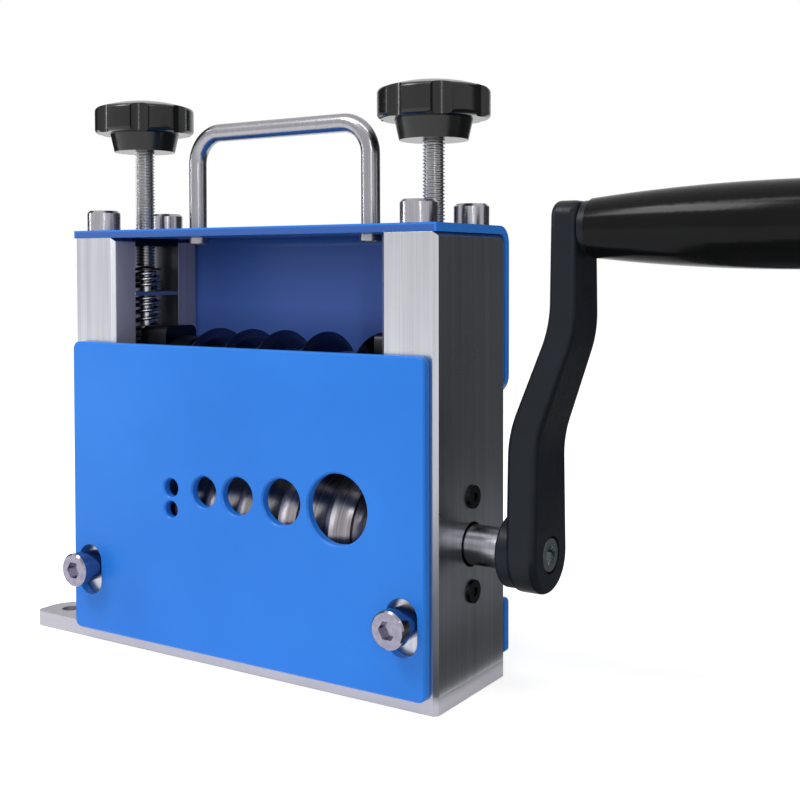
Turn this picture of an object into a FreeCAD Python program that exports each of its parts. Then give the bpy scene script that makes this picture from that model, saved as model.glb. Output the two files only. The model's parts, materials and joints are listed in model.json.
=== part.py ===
import FreeCAD, Part
import math
import os
import re

import Sketcher
from FreeCAD import Vector

# Hand crank wire stripper
# Frame: X to the right along the shafts, Y to the back, Z up, origin under the middle of the body.

# Driving sizes in millimetres: name, value, what it measures
SIZES = (
    ("body_width", 170, "over both side blocks"),
    ("body_depth", 49, "front to back of a side block"),
    ("block_thickness", 22, "side block along the shafts"),
    ("block_height", 155, "side block above the base plate"),
    ("block_chamfer", 1.5, "on the upright edges of a side block"),
    ("base_thickness", 6, "base plate"),
    ("ear_reach", 25, "mounting ears beyond the left side"),
    ("ear_width", 20, "one mounting ear, front to back"),
    ("ear_hole_diameter", 7, "bolt hole of an ear"),
    ("ear_hole_inset", 10.5, "bolt hole from the outer end of its ear"),
    ("ear_hole_side_inset", 9.5, "bolt hole from the front or back of the base"),
    ("ear_outer_radius", 3.5, "outer corner of an ear"),
    ("notch_fillet_limit", 0.9, "largest fillet in the notch, for half its width"),
    ("ear_inner_radius", 12, "corner of an ear beside the notch"),
    ("slot_width", 25, "guide slot in a side block, front to back"),
    ("slot_depth", 13, "guide slot into the inner face"),
    ("slot_floor", 75, "height of the guide slot's bottom"),
    ("insert_thickness", 3, "threaded insert in the top of a slot"),
    ("sheet_thickness", 3, "cover and lower rear panel"),
    ("cover_bend", 3.5, "inner radius of the cover's bend"),
    ("cover_rear_bottom", 101.7, "height of the lower edge of the cover at the back"),
    ("cover_corner", 8, "lower corners of the cover at the back"),
    ("rear_panel_bottom", 8, "height of the lower rear panel's lower edge"),
    ("rear_panel_corner", 1.5, "corners of the lower rear panel"),
    ("rear_panel_height", 20, "lower rear panel"),
    ("panel_thickness", 3.5, "front panel"),
    ("panel_width", 165, "front panel"),
    ("panel_bottom", 4.7, "height of the front panel's lower edge"),
    ("panel_height", 115, "front panel"),
    ("panel_gap", 0.1, "front panel to the side blocks"),
    ("panel_corner", 3, "corners of the front panel"),
    ("panel_slot_spacing", 147, "between the upright slots of the front panel"),
    ("panel_slot_width", 12.1, "upright slot of the front panel"),
    ("panel_slot_length", 19.7, "upright slot of the front panel"),
    ("panel_slot_bottom", 19, "height of the slots' lower end"),
    ("feed_hole_height", 65.7, "height of the feed holes over the underside"),
    ("low_hole_height", 57.5, "height of the lower small feed hole"),
    ("low_hole_diameter", 6.3, "lower small feed hole"),
    ("hole_chamfer", 0.6, "front edge of a feed hole"),
    ("lane_1", 115, "first lane from the right block's outer face"),
    ("lane_2", 98.5, "second lane from the right block's outer face"),
    ("lane_3", 82.4, "third lane from the right block's outer face"),
    ("lane_4", 62.2, "fourth lane from the right block's outer face"),
    ("lane_5", 37.9, "fifth lane from the right block's outer face"),
    ("feed_diameter_1", 7, "feed hole of the first lane"),
    ("feed_diameter_2", 11.7, "feed hole of the second lane"),
    ("feed_diameter_3", 14.1, "feed hole of the third lane"),
    ("feed_diameter_4", 16.8, "feed hole of the fourth lane"),
    ("feed_diameter_5", 25, "feed hole of the fifth lane"),
    ("stop_height", 30.3, "height of the shoulder screws"),
    ("stop_sleeve_diameter", 11.5, "sleeve of a shoulder screw"),
    ("stop_sleeve_length", 7.9, "sleeve of a shoulder screw"),
    ("stop_thread_length", 14, "thread of a shoulder screw in its block"),
    ("cap_head_diameter", 13, "head of an 8 mm cap screw"),
    ("cap_head_height", 8, "head of an 8 mm cap screw"),
    ("cap_screw_length", 25, "cap screws under their heads"),
    ("cap_screw_inset_x", 10.5, "cap screws from the outer faces"),
    ("cap_screw_inset_y", 6.3, "cap screws from the front and back"),
    ("big_screw_diameter", 8, "thread of the cap, shoulder and adjusting screws"),
    ("big_socket_width", 6, "hexagon socket of the large screws"),
    ("stop_head_height", 4.6, "head of a shoulder screw"),
    ("screw_clearance", 0.3, "radial play of a screw in a plain hole"),
    ("running_clearance", 0.05, "radial play of a shaft in its bearing"),
    ("free_clearance", 0.3, "between parts that move past each other"),
    ("shaft_height", 53, "height of the roller shaft"),
    ("shaft_diameter", 14, "roller shaft"),
    ("shaft_bore", 15.6, "hole for the roller shaft in a block's outer face"),
    ("shaft_left_inset", 3, "left end of the roller shaft inside the body"),
    ("shaft_hub_length", 11.2, "roller shaft in the crank's hub"),
    ("roller_diameter", 45, "feed roller over its lands"),
    ("roller_left", 44, "left end of the feed roller from the middle"),
    ("roller_right", 0.5, "feed roller to the right flange bearing"),
    ("roller_chamfer", 0.5, "end edges of the roller and its shaft"),
    ("groove_root", 19.5, "radius of the roller at the bottom of its grooves"),
    ("groove_share", 0.9, "round of a groove for the feed hole's diameter"),
    ("slit_width", 1.2, "slit in a groove's bottom for the edge of the disc"),
    ("slit_depth", 1.5, "slit in a groove's bottom for the edge of the disc"),
    ("flange_thickness", 5, "flange of the roller shaft's bearings"),
    ("flange_radius", 14, "round middle of a bearing flange"),
    ("flange_end_radius", 4.8, "round end of a bearing flange"),
    ("flange_screw_offset", 16.5, "screws of a bearing flange above and below the shaft"),
    ("spigot_diameter", 20, "spigot of a bearing in its block"),
    ("spigot_length", 16, "spigot of a bearing in its block"),
    ("small_screw_diameter", 4.4, "thread of the flange, panel and handle screws"),
    ("screw_end_gap", 1, "end of a screw to the bottom of its hole"),
    ("head_chamfer_share", 0.125, "rim chamfer of a screw head, for its height"),
    ("socket_depth_share", 0.5, "depth of a hexagon socket, for its head's height"),
    ("small_head_diameter", 8.2, "head of a small screw"),
    ("small_head_height", 2.5, "head of a small screw"),
    ("bearing_head_height", 1.1, "low heads of the bearing screws"),
    ("small_socket_width", 3, "hexagon socket of the small screws"),
    ("rear_screw_length", 10, "screws of the cover and lower rear panel"),
    ("rear_screw_rise", 10, "cover's rear screws above its lower edge"),
    ("base_screw_diameter", 6, "countersunk screws of the base plate"),
    ("base_head_diameter", 12, "countersunk head"),
    ("base_screw_length", 20, "countersunk screws, whole length"),
    ("base_screw_spacing", 26, "countersunk screws of one block, front to back"),
    ("arbor_height", 102.7, "height of the cutting arbor"),
    ("arbor_diameter", 14, "arbor under the discs"),
    ("journal_diameter", 9, "ends of the arbor"),
    ("journal_length", 10.5, "ends of the arbor"),
    ("disc_diameter", 45, "cutting disc"),
    ("disc_thickness", 3.2, "cutting disc"),
    ("disc_edge", 0.5, "flat at the rim of a cutting disc"),
    ("disc_bevel_depth", 3.5, "radial length of a disc's bevels"),
    ("spacer_diameter", 31, "spacers between the discs"),
    ("collar_diameter", 38, "end collar of the arbor"),
    ("collar_right", 12.7, "right face of the end collar from its left end"),
    ("collar_chamfer", 1.5, "edges of the end collar"),
    ("bearing_nose_reach", 13, "bearing block out of its slot"),
    ("bearing_nose_width", 17.8, "bearing block out of its slot, front to back"),
    ("bearing_nose_rise", 23, "top of the nose over the arbor's axis"),
    ("bearing_slider_rise", 13.5, "top of the slider over the arbor's axis"),
    ("bearing_drop", 9.3, "bottom of a bearing block under the arbor's axis"),
    ("bearing_corner", 3, "upper corners of a bearing block's nose"),
    ("bush_diameter", 12, "bush in a bearing block"),
    ("bush_flange_diameter", 15, "flange of a bush"),
    ("bush_flange_thickness", 1, "flange of a bush"),
    ("screw_pin_diameter", 6.5, "plain lower end of an adjusting screw"),
    ("screw_collar_diameter", 10.4, "end collar of an adjusting screw"),
    ("screw_collar_height", 1.8, "end collar of an adjusting screw"),
    ("screw_shoulder", 149, "height of the thread's lower end"),
    ("lip_thickness", 2.2, "lip over the collar in a bearing block"),
    ("press_float", 2, "how far a bearing block gives way"),
    ("ring_diameter", 12, "retaining ring on an adjusting screw"),
    ("ring_thickness", 1, "retaining ring on an adjusting screw"),
    ("seat_plate_bottom", 137.8, "height of a spring seat plate"),
    ("seat_plate_thickness", 1.7, "spring seat plate"),
    ("spring_diameter", 12.4, "springs over the wire"),
    ("spring_wire", 1.6, "wire of the springs"),
    ("spring_end_gap", 0.55, "gap between the wires at a spring's ends"),
    ("spring_seat_gap", 0.1, "spring to the faces that it presses"),
    ("left_knob_rise", 32.7, "left knob's boss above the cover"),
    ("right_knob_rise", 29.6, "right knob's boss above the cover"),
    ("knob_diameter", 40, "star knob"),
    ("knob_height", 20.9, "star knob with its boss"),
    ("knob_boss_height", 7.2, "boss of a star knob"),
    ("knob_boss_diameter", 24.5, "lower end of a knob's boss"),
    ("knob_boss_flare", 1.6, "how much the boss widens to the rim, each side"),
    ("knob_crown", 3.4, "crown of the knob's top"),
    ("knob_rounding", 1.8, "rim edges of a star knob"),
    ("knob_scallop_radius", 5, "hollows of a star knob"),
    ("knob_scallop_depth", 2.2, "hollows of a star knob"),
    ("knob_lobes", 7, "lobes of a star knob"),
    ("knob_thread_depth", 12, "adjusting screw in its knob"),
    ("handle_rod_diameter", 7, "rod of the carrying handle"),
    ("handle_spacing", 83.6, "between the legs of the carrying handle"),
    ("handle_rise", 38.5, "middle of the handle's bar above the cover"),
    ("handle_bend", 12, "middle radius of the handle's bends"),
    ("handle_screw_depth", 10, "screws in the legs of the handle"),
    ("crank_gap", 14.8, "outer face of the block to the crank's hub"),
    ("hub_diameter", 25, "hub of the crank beside the block"),
    ("hub_rounding", 1, "inner rim of the hub"),
    ("hub_length", 15.2, "hub of the crank with the lower arm"),
    ("crank_radius", 108.7, "shaft to grip"),
    ("arm_lower_inset", 4.2, "arm behind the hub's inner face"),
    ("arm_upper_thickness", 9.3, "upper arm"),
    ("arm_offset", 14.3, "upper arm beyond the lower arm"),
    ("arm_bend_start", 41, "height of the arm's lower bend over the shaft"),
    ("arm_bend_end", 77, "height of the arm's upper bend over the shaft"),
    ("arm_bend_shift", 2.5, "outer side's bends below the inner side's"),
    ("arm_bend_radius", 40, "bends of the arm"),
    ("arm_lower_width", 26.5, "arm at the shaft, also its round lower end"),
    ("arm_upper_width", 18.4, "arm at the grip"),
    ("arm_top_rise", 9, "top of the arm over the grip's axis"),
    ("cut_margin", 1, "how far a cut runs past the arm"),
    ("arm_top_corner", 5.5, "upper corners of the arm"),
    ("arm_rounding", 2.4, "long edges of the arm"),
    ("retainer_head_diameter", 12, "screw in the end of the roller shaft"),
    ("retainer_head_height", 3.4, "screw in the end of the roller shaft"),
    ("retainer_diameter", 6, "screw in the end of the roller shaft"),
    ("retainer_length", 12, "screw in the end of the roller shaft"),
    ("grip_gap", 2.2, "arm to the grip, filled by the boss"),
    ("grip_boss_diameter", 18, "boss of the arm behind the grip"),
    ("grip_length", 97, "grip"),
    ("grip_inner_diameter", 19.5, "grip beside the arm"),
    ("grip_belly_diameter", 27, "thickest part of the grip"),
    ("grip_belly_place", 66, "thickest part from the grip's inner end"),
    ("grip_outer_diameter", 23.5, "grip at its outer end"),
    ("grip_rounding", 3, "outer edge of the grip"),
    ("spindle_diameter", 8, "spindle of the grip"),
    ("spindle_head_diameter", 12, "head of the spindle"),
    ("spindle_head_height", 3, "head of the spindle"),
    ("spindle_recess", 5, "head of the spindle below the grip's end"),
)
SIZE_NAMES = {name for name, number, note in SIZES}
LANES = (1, 2, 3, 4, 5)

# Places worked out from the driving sizes
HALF_WIDTH = "(body_width / 2)"
HALF_DEPTH = "(body_depth / 2)"
BLOCK_INNER = "(body_width / 2 - block_thickness)"
BLOCK_TOP = "(base_thickness + block_height)"
COVER_TOP = "(base_thickness + block_height + sheet_thickness)"
SLOT_INNER_WALL = "(body_width / 2 - block_thickness + slot_depth)"
SCREW_X = "(body_width / 2 - block_thickness + slot_depth / 2)"
CAP_X = "(body_width / 2 - cap_screw_inset_x)"
CAP_Y = "(body_depth / 2 - cap_screw_inset_y)"
STOP_X = "(panel_slot_spacing / 2)"
BASE_SCREW_X = "(body_width / 2 - block_thickness / 2)"
HUB_INNER = "(body_width / 2 + crank_gap)"
HUB_OUTER = "(body_width / 2 + crank_gap + hub_length)"
ARM_LOWER = "(body_width / 2 + crank_gap + arm_lower_inset)"
ARM_UPPER = "(body_width / 2 + crank_gap + arm_lower_inset + arm_offset)"
ARM_OUTER = "(body_width / 2 + crank_gap + arm_lower_inset + arm_offset + arm_upper_thickness)"
ARM_TOP = "(crank_radius + arm_top_rise)"
GRIP_START = ("(body_width / 2 + crank_gap + arm_lower_inset + arm_offset + arm_upper_thickness"
              " + grip_gap + free_clearance)")
GRIP_HEIGHT = "(shaft_height + crank_radius)"
ARBOR_HALF = ("(body_width / 2 - block_thickness - bearing_nose_reach"
              " - bush_flange_thickness - free_clearance)")
NOSE_FACE = "(body_width / 2 - block_thickness - bearing_nose_reach)"
SLIDER_TOP = "(arbor_height + bearing_slider_rise)"
LIP_BOTTOM = "(arbor_height + bearing_slider_rise - lip_thickness)"
SEAT_PLATE_TOP = "(seat_plate_bottom + seat_plate_thickness)"
REAR_SCREW_X = "(body_width / 2 - block_thickness / 2)"
COVER_SCREW_HEIGHT = "(cover_rear_bottom + rear_screw_rise)"
LOWER_SCREW_HEIGHT = "(rear_panel_bottom + rear_panel_height / 2)"
HANDLE_Y = "(sheet_thickness / 2)"
ROLLER_RIGHT = "(body_width / 2 - block_thickness - flange_thickness - roller_right)"
LANE_X = {lane: "(body_width / 2 - lane_%d)" % lane for lane in LANES}

document = FreeCAD.newDocument("wire_stripper")
sheet = document.addObject("Spreadsheet::Sheet", "Sizes")
for row, (name, number, note) in enumerate(SIZES, start=1):
    sheet.set("A%d" % row, name)
    sheet.set("B%d" % row, str(number))
    sheet.set("C%d" % row, note)
    sheet.setAlias("B%d" % row, name)
document.recompute()

pieces = []


# Expressions and values

def bound(text):
    """The text as an expression, with each size's name pointing at the sheet."""
    def reference(match):
        word = match.group()
        return "Sizes." + word if word in SIZE_NAMES else word
    return re.sub(r"[a-z][a-z0-9_]*", reference, text)


def value(text):
    """The number that an expression gives now."""
    result = sheet.evalExpression(bound(text))
    return float(getattr(result, "Value", result))


def minus(text):
    return "-(%s)" % text


def plus(first, second):
    return "(%s) + (%s)" % (first, second)


# Bodies, sketches and features

def new_body(label):
    body = document.addObject("PartDesign::Body", label)
    body.Label = label
    body.AllowCompound = True
    return body


def place(body, x="0", y="0", z="0"):
    for axis, text in (("x", x), ("y", y), ("z", z)):
        body.setExpression("Placement.Base." + axis, bound(text))


def keep(piece):
    """Lists a finished sub-part for the export."""
    pieces.append(piece)
    return piece


def new_sketch(body, plane, at="0"):
    """A sketch on one of the body's origin planes, moved to a coordinate along its axis."""
    sketch = body.newObject("Sketcher::SketchObject", body.Name + "_sketch")
    planes = {feature.Role: feature for feature in body.Origin.OriginFeatures}
    sketch.AttachmentSupport = (planes[plane + "_Plane"], [""])
    sketch.MapMode = "FlatFace"
    offset = minus(at) if plane == "XZ" else at
    sketch.setExpression("AttachmentOffset.Base.z", bound(offset))
    return sketch


def fix(sketch, kind, text, *place_in_sketch):
    """A constraint whose number follows an expression."""
    index = sketch.addConstraint(Sketcher.Constraint(kind, *place_in_sketch, value(text)))
    sketch.setExpression("Constraints[%d]" % index, bound(text))


def arc_between(start, end, radius):
    """A minor arc that turns left from start to end for a radius over 0, right for one under 0."""
    chord = end - start
    height = math.sqrt(max(radius * radius - chord.Length ** 2 / 4, 0))
    left = Vector(-chord.y, chord.x, 0).normalize()
    centre = (start + end) * 0.5 + left * math.copysign(height, radius)
    first, last = (start, end) if radius > 0 else (end, start)
    angles = [math.atan2(point.y - centre.y, point.x - centre.x) for point in (first, last)]
    return Part.ArcOfCircle(Part.Circle(centre, Vector(0, 0, 1), abs(radius)), *angles)


def add_outline(sketch, corners, closed=True):
    """Lines and arcs through corners (x, y) or (x, y, radius), each size an expression.

    A radius makes an arc of the edge that leaves its corner, to the left if over 0.
    """
    points = [Vector(value(corner[0]), value(corner[1]), 0) for corner in corners]
    count = len(corners)
    ends = []
    for index in range(count if closed else count - 1):
        start, end = points[index], points[(index + 1) % count]
        if len(corners[index]) == 3:
            radius = value(corners[index][2])
            edge = sketch.addGeometry(arc_between(start, end, radius), False)
            fix(sketch, "Radius", "abs(%s)" % corners[index][2], edge)
            ends.append((edge, 1, 2) if radius > 0 else (edge, 2, 1))
        else:
            edge = sketch.addGeometry(Part.LineSegment(start, end), False)
            ends.append((edge, 1, 2))
    for index, (edge, start_end, last_end) in enumerate(ends):
        fix(sketch, "DistanceX", corners[index][0], -1, 1, edge, start_end)
        fix(sketch, "DistanceY", corners[index][1], -1, 1, edge, start_end)
        if closed or index + 1 < len(ends):
            following = ends[(index + 1) % len(ends)]
            sketch.addConstraint(Sketcher.Constraint("Coincident", edge, last_end, *following[:2]))
    if not closed:
        edge, start_end, last_end = ends[-1]
        fix(sketch, "DistanceX", corners[-1][0], -1, 1, edge, last_end)
        fix(sketch, "DistanceY", corners[-1][1], -1, 1, edge, last_end)
    return sketch


def add_rectangle(sketch, left, right, bottom, top):
    return add_outline(sketch, ((left, bottom), (right, bottom), (right, top), (left, top)))


def add_circle(sketch, x, y, diameter):
    radius = value(diameter) / 2
    circle = Part.Circle(Vector(value(x), value(y), 0), Vector(0, 0, 1), radius)
    index = sketch.addGeometry(circle, False)
    fix(sketch, "DistanceX", x, -1, 1, index, 3)
    fix(sketch, "DistanceY", y, -1, 1, index, 3)
    fix(sketch, "Diameter", diameter, index)
    return sketch


def add_hexagon(sketch, x, y, width):
    """A regular hexagon by its width across flats."""
    corners = []
    for step in range(6):
        out = "%s / sqrt(3)" % width
        corners.append((plus(x, "%s * cos(%d)" % (out, 60 * step)),
                        plus(y, "%s * sin(%d)" % (out, 60 * step))))
    return add_outline(sketch, corners)


def add_upright_slot(sketch, x, bottom, top, width):
    """A slot with round ends, by its whole length from bottom to top."""
    half = "(%s) / 2" % width
    low, high = plus(bottom, half), "(%s) - (%s)" % (top, half)
    left, right = "(%s) - (%s)" % (x, half), plus(x, half)
    return add_outline(sketch, ((left, low, half), (x, bottom, half), (right, low),
                                (right, high, half), (x, top, half), (left, high)))


def finish_feature(body, feature, before):
    """Recomputes and makes sure that the feature changed the solid."""
    body.Tip = feature
    document.recompute()
    if before is not None and abs(feature.Shape.Area - before) < 1e-3:
        raise RuntimeError(feature.Name + " changes nothing")
    return feature


def area_of(body):
    return body.Tip.Shape.Area if body.Tip else None


def extrude(body, kind, sketch, length, reverse=False, symmetric=False, taper=0):
    """A Pad or a Pocket of a sketch."""
    before = area_of(body)
    feature = body.newObject("PartDesign::" + kind, body.Name + "_" + kind.lower())
    feature.Profile = sketch
    feature.setExpression("Length", bound(length))
    feature.SideType = "Symmetric" if symmetric else "One side"
    feature.Reversed = reverse
    feature.TaperAngle = taper
    return finish_feature(body, feature, before)


def pad(body, sketch, length, **options):
    return extrude(body, "Pad", sketch, length, **options)


def pocket(body, sketch, length, **options):
    return extrude(body, "Pocket", sketch, length, **options)


def turn(body, kind, sketch, axis):
    """A Revolution or a Groove of a sketch about its own horizontal or vertical axis."""
    before = area_of(body)
    feature = body.newObject("PartDesign::" + kind, body.Name + "_" + kind.lower())
    feature.Profile = sketch
    feature.ReferenceAxis = (sketch, [axis])
    feature.Angle = 360
    return finish_feature(body, feature, before)


def dress(body, kind, edges, size):
    """A Fillet or a Chamfer on the listed edges of the solid so far."""
    before = area_of(body)
    base = body.Tip
    feature = body.newObject("PartDesign::" + kind, body.Name + "_" + kind.lower())
    feature.Base = (base, edges)
    feature.setExpression("Radius" if kind == "Fillet" else "Size", bound(size))
    return finish_feature(body, feature, before)


def straight_edges(body, axis, at):
    """Straight edges along an axis whose middle fits the test."""
    names = []
    for index, edge in enumerate(body.Tip.Shape.Edges, start=1):
        if edge.Degenerated or not isinstance(edge.Curve, Part.Line):
            continue
        way = edge.Curve.Direction
        if abs(abs(getattr(way, axis)) - 1) < 1e-6 and at(edge.CenterOfMass):
            names.append("Edge%d" % index)
    return names


def round_edges(body, at):
    """Circular edges whose centre and radius fit the test."""
    names = []
    for index, edge in enumerate(body.Tip.Shape.Edges, start=1):
        if edge.Degenerated or not isinstance(edge.Curve, Part.Circle):
            continue
        if at(edge.Curve.Center, edge.Curve.Radius):
            names.append("Edge%d" % index)
    return names


def near(number, text):
    return abs(number - value(text)) < 1e-4


def mirrored(piece, label):
    """The same piece on the other side of the middle."""
    copy = document.addObject("Part::Mirroring", label)
    copy.Label = label
    copy.Source = piece
    copy.Normal = Vector(1, 0, 0)
    document.recompute()
    return copy


def pair(piece, label):
    """A right-hand piece and its mirror image in one node."""
    group = document.addObject("Part::Compound", label)
    group.Label = label
    group.Links = [piece, mirrored(piece, label + "_left")]
    document.recompute()
    return group


def screws(label, plane, seat, places, head, shank, socket_width, inward):
    """Cap screws side by side, each head standing on the seat plane.

    head is diameter and height, shank is diameter and length, and inward is True where
    the shanks run along the plane's own direction.
    """
    body = new_body(label)
    heads = new_sketch(body, plane, seat)
    shanks = new_sketch(body, plane, seat)
    for x, y in places:
        add_circle(heads, x, y, head[0])
        add_circle(shanks, x, y, shank[0])
    pad(body, heads, head[1], reverse=inward)
    pad(body, shanks, shank[1], reverse=not inward)
    # the plane's own direction is -Y for XZ, and the sketch's place is given along +Y
    along = -1 if plane == "XZ" else 1
    out = -along if inward else along
    face = plus(seat, "%d * (%s)" % (out, head[1]))
    rims = round_edges(body, lambda centre, radius: near(radius, head[0] + " / 2")
                       and near(centre[{"XY": 2, "XZ": 1, "YZ": 0}[plane]], face))
    dress(body, "Chamfer", rims, "head_chamfer_share * " + head[1])
    sockets = new_sketch(body, plane, face)
    for x, y in places:
        add_hexagon(sockets, x, y, socket_width)
    pocket(body, sockets, "socket_depth_share * " + head[1], reverse=inward)
    return keep(body)


# Frame

def build_base_plate():
    body = new_body("base_plate")
    left, right = minus(HALF_WIDTH), HALF_WIDTH
    tip = minus("body_width / 2 + ear_reach")
    notch = "(body_depth / 2 - ear_width)"
    outline = add_outline(new_sketch(body, "XY"), (
        (tip, minus(HALF_DEPTH)), (right, minus(HALF_DEPTH)), (right, HALF_DEPTH), (tip, HALF_DEPTH),
        (tip, notch), (left, notch), (left, minus(notch)), (tip, minus(notch))))
    pad(body, outline, "base_thickness")
    dress(body, "Fillet", straight_edges(body, "z", lambda at: near(at.x, tip)
          and near(abs(at.y), notch)), "ear_inner_radius")
    dress(body, "Fillet", straight_edges(body, "z", lambda at: near(at.x, tip)
          and near(abs(at.y), HALF_DEPTH)), "ear_outer_radius")
    dress(body, "Fillet", straight_edges(body, "z", lambda at: near(at.x, left)),
          "min(ear_outer_radius; notch_fillet_limit * %s)" % notch)
    dress(body, "Chamfer", straight_edges(body, "z", lambda at: near(at.x, right)), "block_chamfer")
    bolt_holes = new_sketch(body, "XY")
    for side in ("", "-"):
        add_circle(bolt_holes, plus(tip, "ear_hole_inset"),
                   side + "(body_depth / 2 - ear_hole_side_inset)", "ear_hole_diameter")
    pocket(body, bolt_holes, "base_thickness", reverse=True)
    through = new_sketch(body, "XY")
    sinks = new_sketch(body, "XY")
    for x, y in base_screw_places():
        add_circle(through, x, y, "base_screw_diameter + 2 * screw_clearance")
        add_circle(sinks, x, y, "base_head_diameter + 2 * screw_clearance")
    pocket(body, through, "base_thickness", reverse=True)
    pocket(body, sinks, "(base_head_diameter - base_screw_diameter) / 2", reverse=True, taper=-45)
    return keep(body)


def base_screw_places():
    return [(sx + BASE_SCREW_X, sy + "(base_screw_spacing / 2)") for sx in ("", "-") for sy in ("", "-")]


def build_base_screws():
    """Countersunk screws from below, flush with the underside."""
    body = new_body("base_screws")
    heads = new_sketch(body, "XY")
    shanks = new_sketch(body, "XY")
    for x, y in base_screw_places():
        add_circle(heads, x, y, "base_head_diameter")
        add_circle(shanks, x, y, "base_screw_diameter")
    pad(body, heads, "(base_head_diameter - base_screw_diameter) / 2", taper=-45)
    pad(body, shanks, "base_screw_length")
    sockets = new_sketch(body, "XY")
    for x, y in base_screw_places():
        add_hexagon(sockets, x, y, "small_socket_width")
    pocket(body, sockets, "base_thickness / 3", reverse=True)
    return keep(body)


def build_side_blocks():
    """Milled blocks with a guide slot, a bearing seat and the holes of their screws."""
    body = new_body("right_side_block")
    outline = add_rectangle(new_sketch(body, "XY", "base_thickness"),
                            BLOCK_INNER, HALF_WIDTH, minus(HALF_DEPTH), HALF_DEPTH)
    pad(body, outline, "block_height")
    dress(body, "Fillet", straight_edges(body, "x", lambda at: near(at.y, HALF_DEPTH)
          and near(at.z, BLOCK_TOP)), "cover_bend")
    dress(body, "Chamfer", straight_edges(body, "z", lambda at: True), "block_chamfer")
    slot = add_rectangle(new_sketch(body, "YZ", BLOCK_INNER), "-slot_width / 2", "slot_width / 2",
                         "slot_floor", plus(BLOCK_TOP, "1"))
    pocket(body, slot, "slot_depth", reverse=True)
    bore = add_circle(new_sketch(body, "YZ", BLOCK_INNER), "0", "shaft_height", "shaft_bore")
    pocket(body, bore, "block_thickness", reverse=True)
    seat = add_circle(new_sketch(body, "YZ", BLOCK_INNER), "0", "shaft_height", "spigot_diameter")
    pocket(body, seat, "spigot_length", reverse=True)
    flange_holes = new_sketch(body, "YZ", BLOCK_INNER)
    for side in ("+", "-"):
        add_circle(flange_holes, "0", "shaft_height %s flange_screw_offset" % side,
                   "small_screw_diameter + 2 * screw_clearance")
    pocket(body, flange_holes, "block_thickness", reverse=True)
    cap_holes = new_sketch(body, "XY", BLOCK_TOP)
    for side in ("", "-"):
        add_circle(cap_holes, CAP_X, side + CAP_Y, "big_screw_diameter")
    pocket(body, cap_holes, "cap_screw_length")
    stop_hole = add_circle(new_sketch(body, "XZ", minus(HALF_DEPTH)), STOP_X, "stop_height",
                           "big_screw_diameter")
    pocket(body, stop_hole, "stop_thread_length + 1")
    rear_holes = new_sketch(body, "XZ", HALF_DEPTH)
    for height in (COVER_SCREW_HEIGHT, LOWER_SCREW_HEIGHT):
        add_circle(rear_holes, REAR_SCREW_X, height, "small_screw_diameter")
    pocket(body, rear_holes, "rear_screw_length", reverse=True)
    base_holes = new_sketch(body, "XY", "base_thickness")
    for side in ("", "-"):
        add_circle(base_holes, BASE_SCREW_X, side + "(base_screw_spacing / 2)", "base_screw_diameter")
    pocket(body, base_holes, "base_screw_length - base_thickness + 1", reverse=True)
    keep(body)
    keep(mirrored(body, "left_side_block"))


def build_insert_plates():
    """Threaded plates in the tops of the guide slots."""
    body = new_body("right_insert")
    outline = add_rectangle(new_sketch(body, "XY", BLOCK_TOP), BLOCK_INNER, SLOT_INNER_WALL,
                            "-slot_width / 2", "slot_width / 2")
    pad(body, outline, "insert_thickness", reverse=True)
    thread = add_circle(new_sketch(body, "XY", BLOCK_TOP), SCREW_X, "0",
                        "big_screw_diameter + 2 * running_clearance")
    pocket(body, thread, "insert_thickness")
    keep(pair(body, "screw_insert_plates"))


# Sheet metal

def build_cover():
    """Top and rear cover, one bent sheet with the holes of the screws and handle."""
    body = new_body("top_rear_cover")
    front, back = minus(HALF_DEPTH), HALF_DEPTH
    outer_back = "(body_depth / 2 + sheet_thickness)"
    profile = add_outline(new_sketch(body, "YZ"), (
        (front, BLOCK_TOP), ("body_depth / 2 - cover_bend", BLOCK_TOP, "-cover_bend"),
        (back, BLOCK_TOP + " - cover_bend"), (back, "cover_rear_bottom"),
        (outer_back, "cover_rear_bottom"),
        (outer_back, BLOCK_TOP + " - cover_bend", "cover_bend + sheet_thickness"),
        ("body_depth / 2 - cover_bend", COVER_TOP), (front, COVER_TOP)))
    pad(body, profile, "body_width", symmetric=True)
    dress(body, "Fillet", straight_edges(body, "y", lambda at: near(at.z, "cover_rear_bottom")),
          "cover_corner")
    holes = new_sketch(body, "XY", COVER_TOP)
    for sx in ("", "-"):
        for sy in ("", "-"):
            add_circle(holes, sx + CAP_X, sy + CAP_Y, "big_screw_diameter + 2 * screw_clearance")
        add_circle(holes, sx + SCREW_X, "0", "big_screw_diameter + 4 * screw_clearance")
        add_circle(holes, sx + "(handle_spacing / 2)", HANDLE_Y, "small_screw_diameter + screw_clearance")
    pocket(body, holes, "sheet_thickness")
    rear_holes = new_sketch(body, "XZ", HALF_DEPTH)
    for sx in ("", "-"):
        add_circle(rear_holes, sx + REAR_SCREW_X, COVER_SCREW_HEIGHT,
                   "small_screw_diameter + 2 * screw_clearance")
    pocket(body, rear_holes, "sheet_thickness")
    return keep(body)


def build_rear_panel():
    body = new_body("rear_lower_panel")
    outline = new_sketch(body, "XZ", HALF_DEPTH)
    add_rectangle(outline, minus(HALF_WIDTH), HALF_WIDTH, "rear_panel_bottom",
                  "rear_panel_bottom + rear_panel_height")
    for sx in ("", "-"):
        add_circle(outline, sx + REAR_SCREW_X, LOWER_SCREW_HEIGHT,
                   "small_screw_diameter + 2 * screw_clearance")
    pad(body, outline, "sheet_thickness", reverse=True)
    dress(body, "Fillet", straight_edges(body, "y", lambda at: True), "rear_panel_corner")
    return keep(body)


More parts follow.
